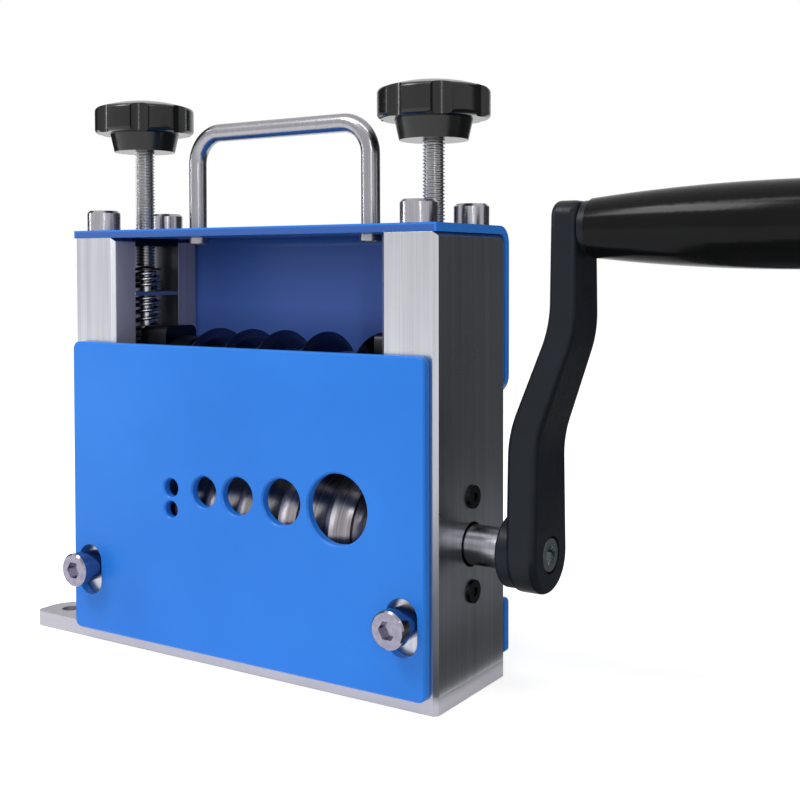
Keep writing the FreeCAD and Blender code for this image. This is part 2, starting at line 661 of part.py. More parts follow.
def build_front_panel():
    """Front panel with its feed holes and the two slots that it slides on."""
    body = new_body("front_panel")
    place(body, y=minus("body_depth / 2 + panel_gap"))
    outline = add_rectangle(new_sketch(body, "XZ"), "-panel_width / 2", "panel_width / 2",
                            "panel_bottom", "panel_bottom + panel_height")
    pad(body, outline, "panel_thickness")
    dress(body, "Fillet", straight_edges(body, "y", lambda at: True), "panel_corner")
    slots = new_sketch(body, "XZ")
    for sx in ("", "-"):
        add_upright_slot(slots, sx + STOP_X, "panel_slot_bottom",
                         "panel_slot_bottom + panel_slot_length", "panel_slot_width")
    pocket(body, slots, "panel_thickness", reverse=True)
    holes = new_sketch(body, "XZ")
    for lane in LANES:
        add_circle(holes, LANE_X[lane], "feed_hole_height", "feed_diameter_%d" % lane)
    add_circle(holes, LANE_X[1], "low_hole_height", "low_hole_diameter")
    pocket(body, holes, "panel_thickness", reverse=True)
    rims = round_edges(body, lambda centre, radius: near(centre.y, "-panel_thickness")
                       and centre.z > value("stop_height") + radius and radius > 2)
    dress(body, "Chamfer", rims, "hole_chamfer")
    return keep(body)


def build_frame_screws():
    both = [sx + CAP_X for sx in ("", "-")]
    screws("top_cap_screws", "XY", COVER_TOP, [(x, sy + CAP_Y) for x in both for sy in ("", "-")],
           ("cap_head_diameter", "cap_head_height"), ("big_screw_diameter", "cap_screw_length"),
           "big_socket_width", inward=False)
    screws("rear_panel_screws", "XZ", "body_depth / 2 + sheet_thickness",
           [(sx + REAR_SCREW_X, height) for sx in ("", "-")
            for height in (COVER_SCREW_HEIGHT, LOWER_SCREW_HEIGHT)],
           ("small_head_diameter", "small_head_height"), ("small_screw_diameter", "rear_screw_length"),
           "small_socket_width", inward=True)


def build_shoulder_screws():
    """Sleeved screws that the front panel slides on."""
    body = new_body("front_shoulder_screws")
    face = minus(HALF_DEPTH)
    head_seat = minus("body_depth / 2 + stop_sleeve_length")
    sleeves = new_sketch(body, "XZ", face)
    threads = new_sketch(body, "XZ", face)
    heads = new_sketch(body, "XZ", head_seat)
    sockets = new_sketch(body, "XZ", head_seat + " - stop_head_height")
    for sx in ("", "-"):
        add_circle(sleeves, sx + STOP_X, "stop_height", "stop_sleeve_diameter")
        add_circle(threads, sx + STOP_X, "stop_height", "big_screw_diameter")
        add_circle(heads, sx + STOP_X, "stop_height", "cap_head_diameter")
        add_hexagon(sockets, sx + STOP_X, "stop_height", "big_socket_width")
    pad(body, sleeves, "stop_sleeve_length")
    pad(body, threads, "stop_thread_length", reverse=True)
    pad(body, heads, "stop_head_height")
    rims = round_edges(body, lambda centre, radius: near(radius, "cap_head_diameter / 2"))
    dress(body, "Chamfer", rims, "head_chamfer_share * stop_head_height")
    pocket(body, sockets, "socket_depth_share * stop_head_height", reverse=False)
    return keep(body)


def build_handle():
    """Carrying handle, a rod bent twice, screwed on from under the cover."""
    body = new_body("carry_handle")
    leg, top = "handle_spacing / 2", plus(COVER_TOP, "handle_rise")
    bend_x, bend_z = "handle_spacing / 2 - handle_bend", plus(COVER_TOP, "handle_rise - handle_bend")
    path = add_outline(new_sketch(body, "XZ", HANDLE_Y), (
        (minus(leg), COVER_TOP), (minus(leg), bend_z, "-handle_bend"), (minus(bend_x), top),
        (bend_x, top, "-handle_bend"), (leg, bend_z), (leg, COVER_TOP)), closed=False)
    section = add_circle(new_sketch(body, "XY", COVER_TOP), minus(leg), HANDLE_Y, "handle_rod_diameter")
    pipe = body.newObject("PartDesign::AdditivePipe", "handle_pipe")
    pipe.Profile = section
    pipe.Spine = (path, ["Edge%d" % number for number in range(1, 6)])
    finish_feature(body, pipe, None)
    holes = new_sketch(body, "XY", COVER_TOP)
    for sx in ("", "-"):
        add_circle(holes, "%s(%s)" % (sx, leg), HANDLE_Y, "small_screw_diameter")
    pocket(body, holes, "handle_screw_depth", reverse=True)
    keep(body)
    screws("handle_screws", "XY", BLOCK_TOP, [(sx + "(handle_spacing / 2)", HANDLE_Y) for sx in ("", "-")],
           ("small_head_diameter", "small_head_height"),
           ("small_screw_diameter", "sheet_thickness + handle_screw_depth - screw_end_gap"),
           "small_socket_width", inward=True)


# Roller and its bearings

def build_flange_bearings():
    """Two-bolt flanges on the inner faces, with a spigot in the block."""
    body = new_body("right_flange_bearing")
    place(body, z="shaft_height")
    lean = "asin((flange_radius - flange_end_radius) / flange_screw_offset)"
    middle_y, middle_z = "flange_radius * cos(%s)" % lean, "flange_radius * sin(%s)" % lean
    end_y = "flange_end_radius * cos(%s)" % lean
    end_z = "flange_screw_offset + flange_end_radius * sin(%s)" % lean
    outline = new_sketch(body, "YZ", BLOCK_INNER)
    add_outline(outline, (
        (middle_y, minus(middle_z), "flange_radius"), (middle_y, middle_z),
        (end_y, end_z, "flange_end_radius"), (minus(end_y), end_z),
        (minus(middle_y), middle_z, "flange_radius"), (minus(middle_y), minus(middle_z)),
        (minus(end_y), minus(end_z), "flange_end_radius"), (end_y, minus(end_z))))
    for side in ("", "-"):
        add_circle(outline, "0", side + "flange_screw_offset", "small_screw_diameter")
    pad(body, outline, "flange_thickness", reverse=True)
    spigot = add_circle(new_sketch(body, "YZ", BLOCK_INNER), "0", "0", "spigot_diameter")
    pad(body, spigot, "spigot_length")
    bore = add_circle(new_sketch(body, "YZ", BLOCK_INNER + " - flange_thickness"), "0", "0",
                      "shaft_diameter + 2 * running_clearance")
    pocket(body, bore, "flange_thickness + spigot_length", reverse=True)
    keep(body)
    keep(mirrored(body, "left_flange_bearing"))


def build_bearing_screws():
    """Long screws from the outer faces into the bearing flanges."""
    heights = ["shaft_height %s flange_screw_offset" % side for side in ("+", "-")]
    body = screws("right_bearing_screws", "YZ", HALF_WIDTH, [("0", height) for height in heights],
                  ("small_head_diameter", "bearing_head_height"),
                  ("small_screw_diameter", "block_thickness + flange_thickness - free_clearance"),
                  "small_socket_width", inward=False)
    pieces.remove(body)
    keep(pair(body, "bearing_screws"))


def build_roller():
    """Feed roller with a round-bottomed groove for each lane."""
    body = new_body("feed_roller")
    place(body, z="shaft_height")
    blank = add_rectangle(new_sketch(body, "XZ"), "-roller_left", ROLLER_RIGHT,
                          "shaft_diameter / 2", "roller_diameter / 2")
    turn(body, "Revolution", blank, "H_Axis")
    for lane in LANES:
        middle = LANE_X[lane]
        reach = "(feed_diameter_%d * groove_share / 2)" % lane
        centre = "groove_root + " + reach
        outside = "roller_diameter + " + reach
        groove = add_outline(new_sketch(body, "XZ"), (
            (middle + " - " + reach, outside), (middle + " - " + reach, centre, reach),
            (middle, "groove_root", reach), (middle + " + " + reach, centre),
            (middle + " + " + reach, outside)))
        turn(body, "Groove", groove, "H_Axis")
    slits = new_sketch(body, "XZ")
    for lane in LANES:
        add_rectangle(slits, LANE_X[lane] + " - slit_width / 2", LANE_X[lane] + " + slit_width / 2",
                      "groove_root - slit_depth", "roller_diameter / 2")
    turn(body, "Groove", slits, "H_Axis")
    dress(body, "Chamfer", round_edges(body, lambda centre, radius: near(radius, "roller_diameter / 2")
          and (near(centre.x, ROLLER_RIGHT) or near(centre.x, "-roller_left"))), "roller_chamfer")
    keep(body)

    shaft = new_body("roller_shaft")
    place(shaft, z="shaft_height")
    profile = add_rectangle(new_sketch(shaft, "XZ"), "shaft_left_inset - body_width / 2",
                            HUB_INNER + " + shaft_hub_length", "0", "shaft_diameter / 2")
    turn(shaft, "Revolution", profile, "H_Axis")
    dress(shaft, "Chamfer", round_edges(shaft, lambda centre, radius: True), "roller_chamfer")
    screw_hole = add_circle(new_sketch(shaft, "YZ", HUB_INNER + " + shaft_hub_length"), "0", "0",
                            "retainer_diameter")
    pocket(shaft, screw_hole, "retainer_length")
    keep(shaft)


# Cutting arbor

def turned(label, left, right, inner, outer):
    """A plain ring on the arbor's axis."""
    body = new_body(label)
    place(body, z="arbor_height")
    turn(body, "Revolution", add_rectangle(new_sketch(body, "XZ"), left, right, inner, outer), "H_Axis")
    return body


def build_arbor():
    shaft = new_body("blade_shaft")
    place(shaft, z="arbor_height")
    end = ARBOR_HALF + " + bush_flange_thickness + journal_length"
    profile = add_outline(new_sketch(shaft, "XZ"), (
        (minus(end), "0"), (end, "0"), (end, "journal_diameter / 2"), (ARBOR_HALF, "journal_diameter / 2"),
        (ARBOR_HALF, "arbor_diameter / 2"), (minus(ARBOR_HALF), "arbor_diameter / 2"),
        (minus(ARBOR_HALF), "journal_diameter / 2"), (minus(end), "journal_diameter / 2")))
    turn(shaft, "Revolution", profile, "H_Axis")
    keep(shaft)

    collar = turned("arbor_end_collar", minus(ARBOR_HALF), "collar_right - " + ARBOR_HALF,
                    "arbor_diameter / 2", "collar_diameter / 2")
    dress(collar, "Chamfer", round_edges(collar, lambda centre, radius: near(radius,
          "collar_diameter / 2")), "collar_chamfer")
    keep(collar)

    spacers = new_body("disc_spacers")
    place(spacers, z="arbor_height")
    rings = new_sketch(spacers, "XZ")
    for lane in LANES:
        left = (LANE_X[lane - 1] + " + disc_thickness / 2" if lane > 1
                else "collar_right - " + ARBOR_HALF)
        add_rectangle(rings, left, LANE_X[lane] + " - disc_thickness / 2",
                      "arbor_diameter / 2", "spacer_diameter / 2")
    turn(spacers, "Revolution", rings, "H_Axis")
    keep(spacers)

    for lane in LANES:
        disc = new_body("cutting_disc_%d" % lane)
        place(disc, x=LANE_X[lane], z="arbor_height")
        hub = "disc_diameter / 2 - disc_bevel_depth"
        profile = add_outline(new_sketch(disc, "XZ"), (
            ("-disc_thickness / 2", "arbor_diameter / 2"), ("disc_thickness / 2", "arbor_diameter / 2"),
            ("disc_thickness / 2", hub), ("disc_edge / 2", "disc_diameter / 2"),
            ("-disc_edge / 2", "disc_diameter / 2"), ("-disc_thickness / 2", hub)))
        turn(disc, "Revolution", profile, "H_Axis")
        keep(disc)


def build_bearing_blocks():
    """Sliders that carry the arbor: guide in the slot, nose toward the discs."""
    body = new_body("right_bearing_block")
    place(body, z="arbor_height")
    half_slider = "(slot_width / 2 - free_clearance)"
    back = SLOT_INNER_WALL + " - free_clearance"
    slider = add_rectangle(new_sketch(body, "XY", "-bearing_drop"), BLOCK_INNER, back,
                           minus(half_slider), half_slider)
    pad(body, slider, "bearing_drop + bearing_slider_rise")
    nose = add_rectangle(new_sketch(body, "YZ", BLOCK_INNER), "-bearing_nose_width / 2",
                         "bearing_nose_width / 2", "-bearing_drop", "bearing_nose_rise")
    pad(body, nose, "bearing_nose_reach", reverse=True)
    dress(body, "Fillet", straight_edges(body, "x", lambda at: near(at.z, "bearing_nose_rise")),
          "bearing_corner")
    lip_slot_width = "screw_pin_diameter + 2 * (free_clearance + running_clearance)"
    head_slot_width = "screw_collar_diameter + 2 * free_clearance"
    for width, top, depth in ((lip_slot_width, "bearing_slider_rise", "lip_thickness"),
                              (head_slot_width, "bearing_slider_rise - lip_thickness",
                               "screw_collar_height + press_float + free_clearance")):
        half = "(%s) / 2" % width
        keyway = add_outline(new_sketch(body, "XY", top), (
            (SCREW_X, minus(half)), (plus(back, "1"), minus(half)), (plus(back, "1"), half),
            (SCREW_X, half, half), ("%s - %s" % (SCREW_X, half), "0", half)))
        pocket(body, keyway, depth)
    seat = add_circle(new_sketch(body, "YZ", NOSE_FACE), "0", "0", "bush_diameter")
    pocket(body, seat, "journal_length + 2 * bush_flange_thickness", reverse=True)
    keep(body)
    keep(mirrored(body, "left_bearing_block"))

    bush = new_body("right_bush")
    place(bush, z="arbor_height")
    bore = "journal_diameter / 2 + running_clearance"
    profile = add_outline(new_sketch(bush, "XZ"), (
        (NOSE_FACE + " - bush_flange_thickness", bore),
        (NOSE_FACE + " + journal_length + bush_flange_thickness", bore),
        (NOSE_FACE + " + journal_length + bush_flange_thickness", "bush_diameter / 2"),
        (NOSE_FACE, "bush_diameter / 2"), (NOSE_FACE, "bush_flange_diameter / 2"),
        (NOSE_FACE + " - bush_flange_thickness", "bush_flange_diameter / 2")))
    turn(bush, "Revolution", profile, "H_Axis")
    keep(pair(bush, "arbor_bushes"))


# Adjusting screws, springs and knobs

def build_adjusting_screws():
    for side, sign in (("left", "-"), ("right", "")):
        screw = new_body(side + "_adjusting_screw")
        place(screw, x=sign + SCREW_X)
        collar_top = LIP_BOTTOM + " - running_clearance"
        collar_bottom = collar_top + " - screw_collar_height"
        top = plus(COVER_TOP, side + "_knob_rise + knob_thread_depth")
        profile = add_outline(new_sketch(screw, "XZ"), (
            ("0", collar_bottom), ("screw_collar_diameter / 2", collar_bottom),
            ("screw_collar_diameter / 2", collar_top), ("screw_pin_diameter / 2", collar_top),
            ("screw_pin_diameter / 2", "screw_shoulder"), ("big_screw_diameter / 2", "screw_shoulder"),
            ("big_screw_diameter / 2", top), ("0", top)))
        turn(screw, "Revolution", profile, "V_Axis")
        keep(screw)

        ring = new_body(side + "_retaining_ring")
        place(ring, x=sign + SCREW_X)
        profile = add_rectangle(new_sketch(ring, "XZ"), "screw_pin_diameter / 2", "ring_diameter / 2",
                                "screw_shoulder - ring_thickness", "screw_shoulder")
        turn(ring, "Revolution", profile, "V_Axis")
        keep(ring)
        build_knob(side, sign)


def build_knob(side, sign):
    """Star knob: a crowned rim with hollows, and a boss that takes the screw."""
    knob = new_body(side + "_star_knob")
    place(knob, x=sign + SCREW_X, z=plus(COVER_TOP, side + "_knob_rise"))
    rim, rim_top = "knob_diameter / 2", "knob_height - knob_crown"
    crown_radius = "(knob_diameter * knob_diameter / 4 + knob_crown * knob_crown) / (2 * knob_crown)"
    profile = add_outline(new_sketch(knob, "XZ"), (
        ("0", "0"), ("knob_boss_diameter / 2", "0"),
        ("knob_boss_diameter / 2 + knob_boss_flare", "knob_boss_height"), (rim, "knob_boss_height"),
        (rim, rim_top, crown_radius), ("0", "knob_height")))
    turn(knob, "Revolution", profile, "V_Axis")
    dress(knob, "Fillet", round_edges(knob, lambda centre, radius: near(radius, rim)),
          "knob_rounding")
    scallop = add_circle(new_sketch(knob, "XY", "knob_height"),
                         rim + " + knob_scallop_radius - knob_scallop_depth", "0",
                         "2 * knob_scallop_radius")
    cut = pocket(knob, scallop, "knob_height")
    hollows = knob.newObject("PartDesign::PolarPattern", knob.Name + "_hollows")
    hollows.Originals = [cut]
    hollows.Axis = (scallop, ["N_Axis"])
    hollows.Angle = 360
    hollows.setExpression("Occurrences", bound("knob_lobes"))
    finish_feature(knob, hollows, cut.Shape.Area)
    thread = add_circle(new_sketch(knob, "XY"), "0", "0", "big_screw_diameter")
    pocket(knob, thread, "knob_thread_depth", reverse=True)
    keep(knob)


def build_seat_plates():
    body = new_body("right_seat_plate")
    outline = new_sketch(body, "XY", "seat_plate_bottom")
    half = "(slot_width / 2 - free_clearance)"
    add_rectangle(outline, BLOCK_INNER + " + free_clearance", SLOT_INNER_WALL + " - free_clearance",
                  minus(half), half)
    add_circle(outline, SCREW_X, "0", "screw_pin_diameter + 2 * free_clearance")
    pad(body, outline, "seat_plate_thickness")
    keep(pair(body, "spring_seat_plates"))


def arc_by_corner(start, corner, end):
    """The arc from start to end whose tangents meet in the corner."""
    middle = (start + end) * 0.5
    half_chord = (end - start).Length / 2
    rise = corner - middle
    sagitta = half_chord * math.tan(math.atan2(rise.Length, half_chord) / 2)
    return Part.Arc(start, middle + rise.normalize() * sagitta, end).toShape()


def biarc(start, start_way, end, end_way):
    """Two arcs that leave start along one way and reach end along the other."""
    chord = end - start
    along = chord.dot(start_way + end_way)
    bend = 2 * (1 - start_way.dot(end_way))
    reach = (math.sqrt(along * along + bend * chord.dot(chord)) - along) / bend
    corner, last_corner = start + start_way * reach, end - end_way * reach
    middle = (corner + last_corner) * 0.5
    return [arc_by_corner(start, corner, middle), arc_by_corner(middle, last_corner, end)]


def coil(centre_x, bottom, top, turns):
    """One unbroken coil spring: close turns at both ends, wider ones between."""
    wire = value("spring_wire")
    radius = (value("spring_diameter") - wire) / 2
    first = bottom + wire / 2 + value("spring_seat_gap")
    height = top - bottom - wire - 2 * value("spring_seat_gap")
    end_pitch = wire + value("spring_end_gap")
    extra = 2 * (height / turns - end_pitch)

    def point(turned_by):
        swell = turned_by / 2 - turns * math.sin(2 * math.pi * turned_by / turns) / (4 * math.pi)
        angle = 2 * math.pi * turned_by
        return Vector(centre_x + radius * math.cos(angle), radius * math.sin(angle),
                      first + end_pitch * turned_by + extra * swell)

    def way(turned_by):
        angle = 2 * math.pi * turned_by
        climb = end_pitch + extra * (1 - math.cos(angle / turns)) / 2
        return Vector(-2 * math.pi * radius * math.sin(angle), 2 * math.pi * radius * math.cos(angle),
                      climb).normalize()

    quarters = 4 * turns
    edges = []
    for quarter in range(quarters):
        start, end = quarter / 4, (quarter + 1) / 4
        edges += biarc(point(start), way(start), point(end), way(end))
    path = Part.Wire(edges)
    section = Part.Wire([Part.Circle(point(0), way(0), wire / 2).toShape()])
    tube = path.makePipeShell([section], True, False)
    samples = [point(step / 24) for step in range(24 * turns + 1)]
    gap = min((samples[i] - samples[j]).Length for i in range(len(samples))
              for j in range(i + 12, len(samples))) - wire
    swept = math.pi * wire * wire / 4 * path.Length
    print("spring at %.1f: least gap to itself %.2f mm, volume %.4f of section times length"
          % (centre_x, gap, tube.Volume / swept))
    return tube


def build_springs():
    x = value(SCREW_X)
    heights = {"main": (value(SLIDER_TOP), value("seat_plate_bottom"), 7),
               "upper": (value(SEAT_PLATE_TOP), value("screw_shoulder - ring_thickness"), 3)}
    for side, sign in (("left", -1), ("right", 1)):
        for kind, (bottom, top, turns) in heights.items():
            spring = document.addObject("Part::Feature", "%s_%s_spring" % (side, kind))
            spring.Label = "%s_%s_spring" % (side, kind)
            spring.Shape = coil(sign * x, bottom, top, turns)
            keep(spring)


# Crank

def rim_edges(arm):
    """The edges round the arm's two broad sides, without the lines across its bends and corners."""
    across = straight_edges(arm, "y", lambda at: not near(at.z, ARM_TOP))
    across += straight_edges(arm, "x", lambda at: True)
    names = ["Edge%d" % number for number in range(1, len(arm.Tip.Shape.Edges) + 1)]
    return [name for name in names if name not in across]


def build_crank():
    """Cast arm with a hub, stepped outward between hub and grip."""
    arm = new_body("crank_arm")
    place(arm, z="shaft_height")
    wide, narrow = "(arm_lower_width / 2)", "(arm_upper_width / 2)"
    profile = add_outline(new_sketch(arm, "XZ"), (
        (ARM_LOWER, "0"), (HUB_OUTER, "0"), (HUB_OUTER, "arm_bend_start - arm_bend_shift"),
        (ARM_OUTER, "arm_bend_end - arm_bend_shift"), (ARM_OUTER, ARM_TOP), (ARM_UPPER, ARM_TOP),
        (ARM_UPPER, "arm_bend_end"), (ARM_LOWER, "arm_bend_start")))
    pad(arm, profile, "arm_lower_width", symmetric=True)
    dress(arm, "Fillet", straight_edges(arm, "y", lambda at: not near(at.z, "0")
          and not near(at.z, ARM_TOP)), "arm_bend_radius")
    sides = new_sketch(arm, "YZ", HUB_INNER)
    for sy in ("", "-"):
        beyond, top = sy + "(arm_lower_width / 2 + cut_margin)", ARM_TOP + " + cut_margin"
        add_outline(sides, ((sy + wide, "0"), (beyond, "0"), (beyond, top), (sy + narrow, top)))
    pocket(arm, sides, ARM_OUTER, reverse=True)
    dress(arm, "Fillet", straight_edges(arm, "x", lambda at: near(at.z, ARM_TOP)), "arm_top_corner")
    lower_end = add_circle(new_sketch(arm, "YZ", ARM_LOWER), "0", "0", "arm_lower_width")
    pad(arm, lower_end, HUB_OUTER + " - " + ARM_LOWER)
    dress(arm, "Fillet", rim_edges(arm), "arm_rounding")
    hub = add_circle(new_sketch(arm, "YZ", HUB_INNER), "0", "0", "hub_diameter")
    pad(arm, hub, "arm_lower_inset + arm_rounding")
    dress(arm, "Fillet", round_edges(arm, lambda centre, radius: near(radius, "hub_diameter / 2")
          and near(centre.x, HUB_INNER)), "hub_rounding")
    grip_boss = add_circle(new_sketch(arm, "YZ", ARM_OUTER), "0", "crank_radius", "grip_boss_diameter")
    pad(arm, grip_boss, "grip_gap")
    for x, diameter, depth in ((HUB_INNER, "shaft_diameter", "shaft_hub_length"),
                               (HUB_INNER, "retainer_diameter + screw_clearance", "hub_length")):
        hole = add_circle(new_sketch(arm, "YZ", x), "0", "0", diameter)
        pocket(arm, hole, depth, reverse=True)
    recess = add_circle(new_sketch(arm, "YZ", HUB_OUTER), "0", "0",
                        "retainer_head_diameter + 2 * screw_clearance")
    pocket(arm, recess, "hub_length - shaft_hub_length - free_clearance")
    spindle_hole = add_circle(new_sketch(arm, "YZ", ARM_UPPER), "0", "crank_radius",
                              "spindle_diameter")
    pocket(arm, spindle_hole, "arm_upper_thickness + grip_gap", reverse=True)
    keep(arm)

    retainer = screws("crank_retaining_screw", "YZ", HUB_INNER + " + shaft_hub_length + free_clearance",
                      [("0", "0")], ("retainer_head_diameter", "retainer_head_height"),
                      ("retainer_diameter", "retainer_length - screw_end_gap"), "big_socket_width", inward=False)
    place(retainer, z="shaft_height")


def build_grip():
    """Turning grip on a headed spindle."""
    spindle = new_body("grip_spindle")
    place(spindle, z=GRIP_HEIGHT)
    head_end = GRIP_START + " + grip_length - spindle_recess"
    head_start = head_end + " - spindle_head_height"
    profile = add_outline(new_sketch(spindle, "XZ"), (
        (ARM_UPPER, "0"), (head_end, "0"), (head_end, "spindle_head_diameter / 2"),
        (head_start, "spindle_head_diameter / 2"), (head_start, "spindle_diameter / 2"),
        (ARM_UPPER, "spindle_diameter / 2")))
    turn(spindle, "Revolution", profile, "H_Axis")
    keep(spindle)

    grip = new_body("crank_grip")
    place(grip, z=GRIP_HEIGHT)
    bore = "spindle_diameter / 2 + free_clearance"
    recess = "spindle_head_diameter / 2 + free_clearance"
    shoulder = head_start + " - free_clearance"
    grip_end = GRIP_START + " + grip_length"
    rise = "(grip_belly_diameter - grip_inner_diameter) / 2"
    fall = "(grip_belly_diameter - grip_outer_diameter) / 2"
    rest = "(grip_length - grip_belly_place)"
    inner_radius = "-(grip_belly_place * grip_belly_place + {0} * {0}) / (2 * {0})".format(rise)
    outer_radius = "-({1} * {1} + {0} * {0}) / (2 * {0})".format(fall, rest)
    profile = add_outline(new_sketch(grip, "XZ"), (
        (GRIP_START, bore), (GRIP_START, "grip_inner_diameter / 2", inner_radius),
        (GRIP_START + " + grip_belly_place", "grip_belly_diameter / 2", outer_radius),
        (grip_end, "grip_outer_diameter / 2"), (grip_end, recess), (shoulder, recess), (shoulder, bore)))
    turn(grip, "Revolution", profile, "H_Axis")
    dress(grip, "Fillet", round_edges(grip, lambda centre, radius: near(radius,
          "grip_outer_diameter / 2") and near(centre.x, grip_end)), "grip_rounding")
    keep(grip)


def export_pieces():
    """Checks every object and writes one STEP file for each sub-part."""
    document.recompute()
    for item in document.Objects:
        if "Invalid" in item.State or "Error" in item.State:
            raise RuntimeError("%s: %s" % (item.Name, item.State))
    os.makedirs("parts", exist_ok=True)
    for piece in pieces:
        shape = piece.Shape
        if shape.isNull() or not shape.isValid() or not shape.Solids:
            raise RuntimeError(piece.Label + " has no valid solid")
        shape.exportStep("parts/%s.step" % piece.Label)
    print(len(pieces), "sub-parts,", sum(len(piece.Shape.Solids) for piece in pieces), "solids")


build_base_plate()
build_base_screws()
build_side_blocks()
build_insert_plates()
build_cover()
build_rear_panel()
build_front_panel()
build_frame_screws()
build_shoulder_screws()
build_handle()
build_flange_bearings()
build_bearing_screws()
build_roller()
build_arbor()
build_bearing_blocks()
build_adjusting_screws()
build_seat_plates()
build_springs()
build_crank()
build_grip()
export_pieces()
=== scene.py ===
import json
import math

import bmesh
import bpy
from mathutils import Matrix, Vector


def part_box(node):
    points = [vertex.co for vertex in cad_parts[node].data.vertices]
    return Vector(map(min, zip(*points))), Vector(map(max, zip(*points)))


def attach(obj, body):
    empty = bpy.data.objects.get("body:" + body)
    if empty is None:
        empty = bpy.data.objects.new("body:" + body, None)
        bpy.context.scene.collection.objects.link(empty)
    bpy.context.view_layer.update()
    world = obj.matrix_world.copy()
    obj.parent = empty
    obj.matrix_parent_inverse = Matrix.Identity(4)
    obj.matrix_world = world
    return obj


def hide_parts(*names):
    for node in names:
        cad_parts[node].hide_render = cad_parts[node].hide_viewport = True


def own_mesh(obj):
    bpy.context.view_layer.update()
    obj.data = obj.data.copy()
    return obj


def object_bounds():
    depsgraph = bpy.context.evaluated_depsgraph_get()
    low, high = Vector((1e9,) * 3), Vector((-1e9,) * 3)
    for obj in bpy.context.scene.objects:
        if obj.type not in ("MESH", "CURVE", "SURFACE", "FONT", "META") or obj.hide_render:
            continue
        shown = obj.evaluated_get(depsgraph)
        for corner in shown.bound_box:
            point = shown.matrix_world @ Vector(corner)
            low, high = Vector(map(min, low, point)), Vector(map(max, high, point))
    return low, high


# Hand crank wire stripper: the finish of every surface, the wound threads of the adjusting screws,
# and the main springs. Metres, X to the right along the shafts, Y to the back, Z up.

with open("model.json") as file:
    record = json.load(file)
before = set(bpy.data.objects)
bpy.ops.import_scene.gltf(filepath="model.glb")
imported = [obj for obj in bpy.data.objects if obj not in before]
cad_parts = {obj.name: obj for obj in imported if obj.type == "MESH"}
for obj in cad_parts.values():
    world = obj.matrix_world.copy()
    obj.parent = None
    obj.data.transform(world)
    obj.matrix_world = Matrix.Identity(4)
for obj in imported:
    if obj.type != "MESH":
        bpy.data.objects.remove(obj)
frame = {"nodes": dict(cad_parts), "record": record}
NODES = frame["nodes"]
cad_low, cad_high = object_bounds()

MM = 0.001


def middle_height(node):
    """Height of a shaft's axis."""
    low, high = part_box(node)
    return (low.z + high.z) / 2


SHAFT_HEIGHT = middle_height("roller_shaft")
ARBOR_HEIGHT = middle_height("blade_shaft")
BLOCK_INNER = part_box("right_side_block")[0].x
COVER_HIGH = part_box("top_rear_cover")[1]


# Camera, stage and light

CAMERA_PLACE = Vector((284.3, -360.1, 148.9)) * MM
CAMERA_TURN, CAMERA_DIP, CAMERA_ROLL = 32.45, 1.58, -0.1
CAMERA_LENS, CAMERA_SENSOR, CAMERA_SHIFT = 53.57, 36, -0.1241


def set_camera():
    """Stands where the photograph was taken: right of the middle, a little above."""
    turn, dip, roll = (math.radians(part) for part in (CAMERA_TURN, CAMERA_DIP, CAMERA_ROLL))
    forward = Vector((-math.sin(turn) * math.cos(dip), math.cos(turn) * math.cos(dip),
                      -math.sin(dip)))
    level = Vector((math.cos(turn), math.sin(turn), 0))
    upright = level.cross(forward)
    right = level * math.cos(roll) + upright * math.sin(roll)
    up = upright * math.cos(roll) - level * math.sin(roll)
    camera = bpy.data.objects.new("camera", bpy.data.cameras.new("camera"))
    bpy.context.scene.collection.objects.link(camera)
    place = Matrix((right, up, -forward)).transposed().to_4x4()
    place.translation = CAMERA_PLACE
    camera.matrix_world = place
    camera.data.sensor_width, camera.data.lens = CAMERA_SENSOR, CAMERA_LENS
    camera.data.shift_y = CAMERA_SHIFT
    camera.data.clip_start, camera.data.clip_end = 0.01, 50
    bpy.context.scene.camera = camera


SOFT_LEVEL, WHITE_LEVEL = 0.42, 1.0


def set_world():
    """White where it is seen or mirrored, softer where it lights the object."""
    world = bpy.data.worlds.new("pale_studio")
    world.use_nodes = True
    bpy.context.scene.world = world
    tree = world.node_tree
    background = tree.nodes["Background"]
    background.inputs["Color"].default_value = (1, 1, 1, 1)
    path = tree.nodes.new("ShaderNodeLightPath")
    seen = add(tree, "Math", {0: path.outputs["Is Camera Ray"], 1: path.outputs["Is Glossy Ray"]},
               operation="MAXIMUM")
    seen = add(tree, "Math", {0: seen.outputs[0], 1: path.outputs["Is Transmission Ray"]},
               operation="MAXIMUM")
    tree.links.new(ranged(tree, seen.outputs[0], SOFT_LEVEL, WHITE_LEVEL),
                   background.inputs["Strength"])


def add_lamp(name, place, target, size, power):
    """A white board of light that the camera doesn't see."""
    lamp = bpy.data.lights.new(name, "AREA")
    lamp.shape = "RECTANGLE"
    lamp.size, lamp.size_y = size
    lamp.energy = power
    holder = bpy.data.objects.new(name, lamp)
    bpy.context.scene.collection.objects.link(holder)
    holder.location = place
    holder.rotation_euler = (Vector(target) - Vector(place)).to_track_quat("-Z", "Y").to_euler()
    holder.visible_camera = False


FLOOR_HALF, FLOOR_GAP = 6, 0.2 * MM
FLOOR_COLOUR, FLOOR_WHITENING = (0.86, 0.86, 0.86, 1), 0.62


